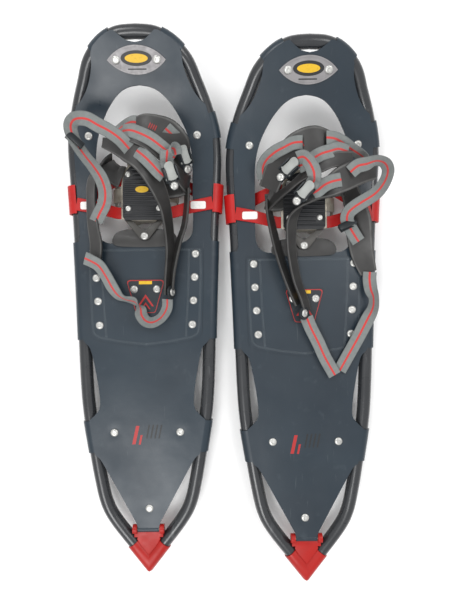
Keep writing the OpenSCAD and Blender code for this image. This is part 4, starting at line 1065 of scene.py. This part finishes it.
# Poses of the left and the right: x, y, z and degrees about x, y, z
FRONT_BUCKLE = ((61, 193, 88, 38, -20, 107), (27, 191, 94, 20, -18, 138))
REAR_BUCKLE = ((44, 168, 100, 22, -16, 108), (7, 159, 97, 12, -16, 133))
DISC = ((35.5, 12, 53, 0, 62, 0), (6, -4, 53, 0, -38, 0))


def posed(pose):
    x, y, z, *turned = pose
    return Matrix.Translation((x, y, z)) @ Euler([radians(a) for a in turned]).to_matrix().to_4x4()


LEVER_HALF = ([(16.9, 0)] + bend([(16.6, 2.6), (14.6, 5.4), (11, 6.7), (4, 6.3), (-3, 6.8),
                                  (-6.4, 5.6), (-7.6, 3)]) + [(-7.8, 0)])


def lever(side, k, end):
    """Rounded thumb paddle on a round axle."""
    pose = posed((FRONT_BUCKLE if end == "front" else REAR_BUCKLE)[k])
    loop = LEVER_HALF + [(x, -y) for x, y in reversed(LEVER_HALF[1:-1])]
    flat, tris = fill(loop, [], 2.2)

    def crown(x, y):
        hollow = -0.7 * math.exp(-((x - 7) / 5) ** 2 - (y / 4) ** 2)
        return 7.4 - 1.2 * (y / 6.8) ** 2 + hollow + 0.02 * max(0, x - 8) ** 2

    paddle = thick(flat, tris, lambda x, y: tuple(pose @ Vector((x, y, crown(x, y)))),
                   lambda x, y: tuple(pose @ Vector((x, y, 3.9))))
    axle = lathe([(0, -9.5), (1.5, -9.5), (1.6, -9.2), (1.6, 9.2), (1.5, 9.5), (0, 9.5)],
                 pose @ Matrix.Translation((-5, 0, 5)) @ Matrix.Rotation(math.pi / 2, 4, "X"))
    mesh = shoe_mesh("lever", side, *joined([paddle, axle]))
    finish_piece(bevelled(mesh, 0.9, 3, 50), f"{side}_{end}_lever", side, LEVER,
                 f"{end}_lever_body", "lever_grey", (f"{end}_lever",))


def on_band(rows, t, index):
    """Frame on the upper face of a band at one of its control rows: x across, y along."""
    p = spline(rows, SPAN_STEPS)
    i = index * SPAN_STEPS
    f = tangents(p[:, :3])[i]
    s = unit(p[i][3:6] - f * np.dot(p[i][3:6], f))
    u = np.cross(s, f)
    if u[2] < 0:
        u, s = -u, -s
    return Matrix([(s[j], f[j], u[j], p[i][j] + u[j] * t / 2) for j in range(3)] + [(0, 0, 0, 1)])


def cup_marks(side, k):
    """Four short printed dashes on the toe cup."""
    base = on_band(TOE_CUP[k], PANEL_T, 4 - k)
    marks = [plate(rectangle(7, 1.3, -1, y, 0.3), -0.3, 0.12, base)
             for y in (-4.5, -1.5, 1.5, 4.5)]
    piece("toe_cup_marks", side, *joined(marks), INK_RED, "binding", "harness_black")


def fasteners(side, k):
    parts = [lathe(BOLT_HEAD, at(x, y, FOOT_Z + FOOT_T - 0.2)) for x, y in BOLTS]
    parts.append(lathe(RIVET_HEAD, at(0, 94, PLATE_TOP)))
    for pose in (FRONT_BUCKLE[k], REAR_BUCKLE[k]):
        parts.append(lathe(RIVET_HEAD, posed(pose) @ Matrix.Translation((-15, 0, 2))))
    parts.append(lathe(RIVET_HEAD, posed(DISC[k]) @ Matrix.Translation((0, 0, 5.9))))
    piece("binding_fasteners", side, *joined(parts), RIVET, "binding", "rivet_bright",
          ("binding_fasteners",))


# CAD node, look, body, slot, and width and steps of the rounding
HARD_PARTS = (
    ("tail_cap", RED_CAP, "shoe", "tail_red", 1.2, 3),
    ("tail_clip", STEEL, "shoe", "bare_steel", 0.3, 2),
    ("heel_crampon", STEEL, "shoe", "bare_steel", 0.35, 2),
    ("toe_crampon", STEEL, "binding", "bare_steel", 0.35, 2),
    ("rear_bracket", HARNESS_EDGE, "binding", "harness_black", 0.8, 2),
    ("rear_flap", HARNESS, "binding", "harness_black", 0.5, 2),
    ("heel_disc", BUCKLE, "binding", "badge_dark", 0.8, 2),
    ("webbing_keeper", BUCKLE, "binding", "buckle_dark", 0.8, 2),
    ("front_buckle", BUCKLE, "binding", "buckle_dark", 0.6, 2),
    ("rear_buckle", BUCKLE, "binding", "buckle_dark", 0.6, 2))


# ---- Build both shoes ----

shared_deck, deck_area = deck_parts()
for number, name in enumerate(SIDES):
    frame_tube(name)
    deck(name, shared_deck, deck_area)
    heel_pad(name)
    deck_rivets(name)
    nose_badge(name)
    heel_badge(name)
    tail_marks(name)
    suspension(name)
    footbed(name)
    for node, *finish in HARD_PARTS:
        softened(node, name, *finish)
    harness(name, number)
    fasteners(name, number)
    cup_marks(name, number)
    for end in ("front", "rear"):
        lever(name, number, end)


# ---- Floor, light and camera ----

def area_light(name, place, target, size, power):
    data = bpy.data.lights.new(name, "AREA")
    data.shape, data.size, data.energy = "DISK", size, power
    lamp = new_object(name, data)
    lamp.location = place
    lamp.rotation_euler = (Vector(target) - Vector(place)).to_track_quat("-Z", "Y").to_euler()


def stage():
    mesh = bpy.data.meshes.new("floor")
    r = 6.0
    mesh.from_pydata([(-r, -r, 0), (r, -r, 0), (r, r, 0), (-r, r, 0)], [], [(0, 1, 2, 3)])
    mesh.materials.append(Look("floor", (0.93, 0.93, 0.93), 0.9, Specular_IOR_Level=0.1).material)
    new_object("floor", mesh)
    world = bpy.data.worlds.new("studio")
    world.use_nodes = True
    inputs = world.node_tree.nodes["Background"].inputs
    inputs["Color"].default_value = (1, 1, 1, 1)
    inputs["Strength"].default_value = 0.85
    bpy.context.scene.world = world
    area_light("key", (-0.5, -1.1, 1.7), (0, 0, 0), 0.9, 16)
    area_light("fill", (0.9, 0.5, 1.6), (0, 0.05, 0), 0.8, 9)
    area_light("top", (-0.7, 0.9, 1.5), (0, 0.1, 0), 0.7, 8)


# Camera height, and how much of the deck's plane the view's long side takes in, in metres
CAMERA_Z, VIEW_SPAN, SENSOR = 0.758, 0.876, 36
CAMERA_ROLL = -0.011


def camera():
    data = bpy.data.cameras.new("camera")
    data.sensor_width = SENSOR
    data.lens = SENSOR * (CAMERA_Z - DECK_TOP * MM) / VIEW_SPAN
    data.clip_start, data.clip_end = 0.02, 30
    eye = new_object("camera", data)
    eye.location = (0, SHIFT * MM, CAMERA_Z)
    eye.rotation_euler = (0, 0, CAMERA_ROLL)
    bpy.context.scene.camera = eye


stage()
camera()
bpy.context.scene.view_settings.view_transform = "Standard"
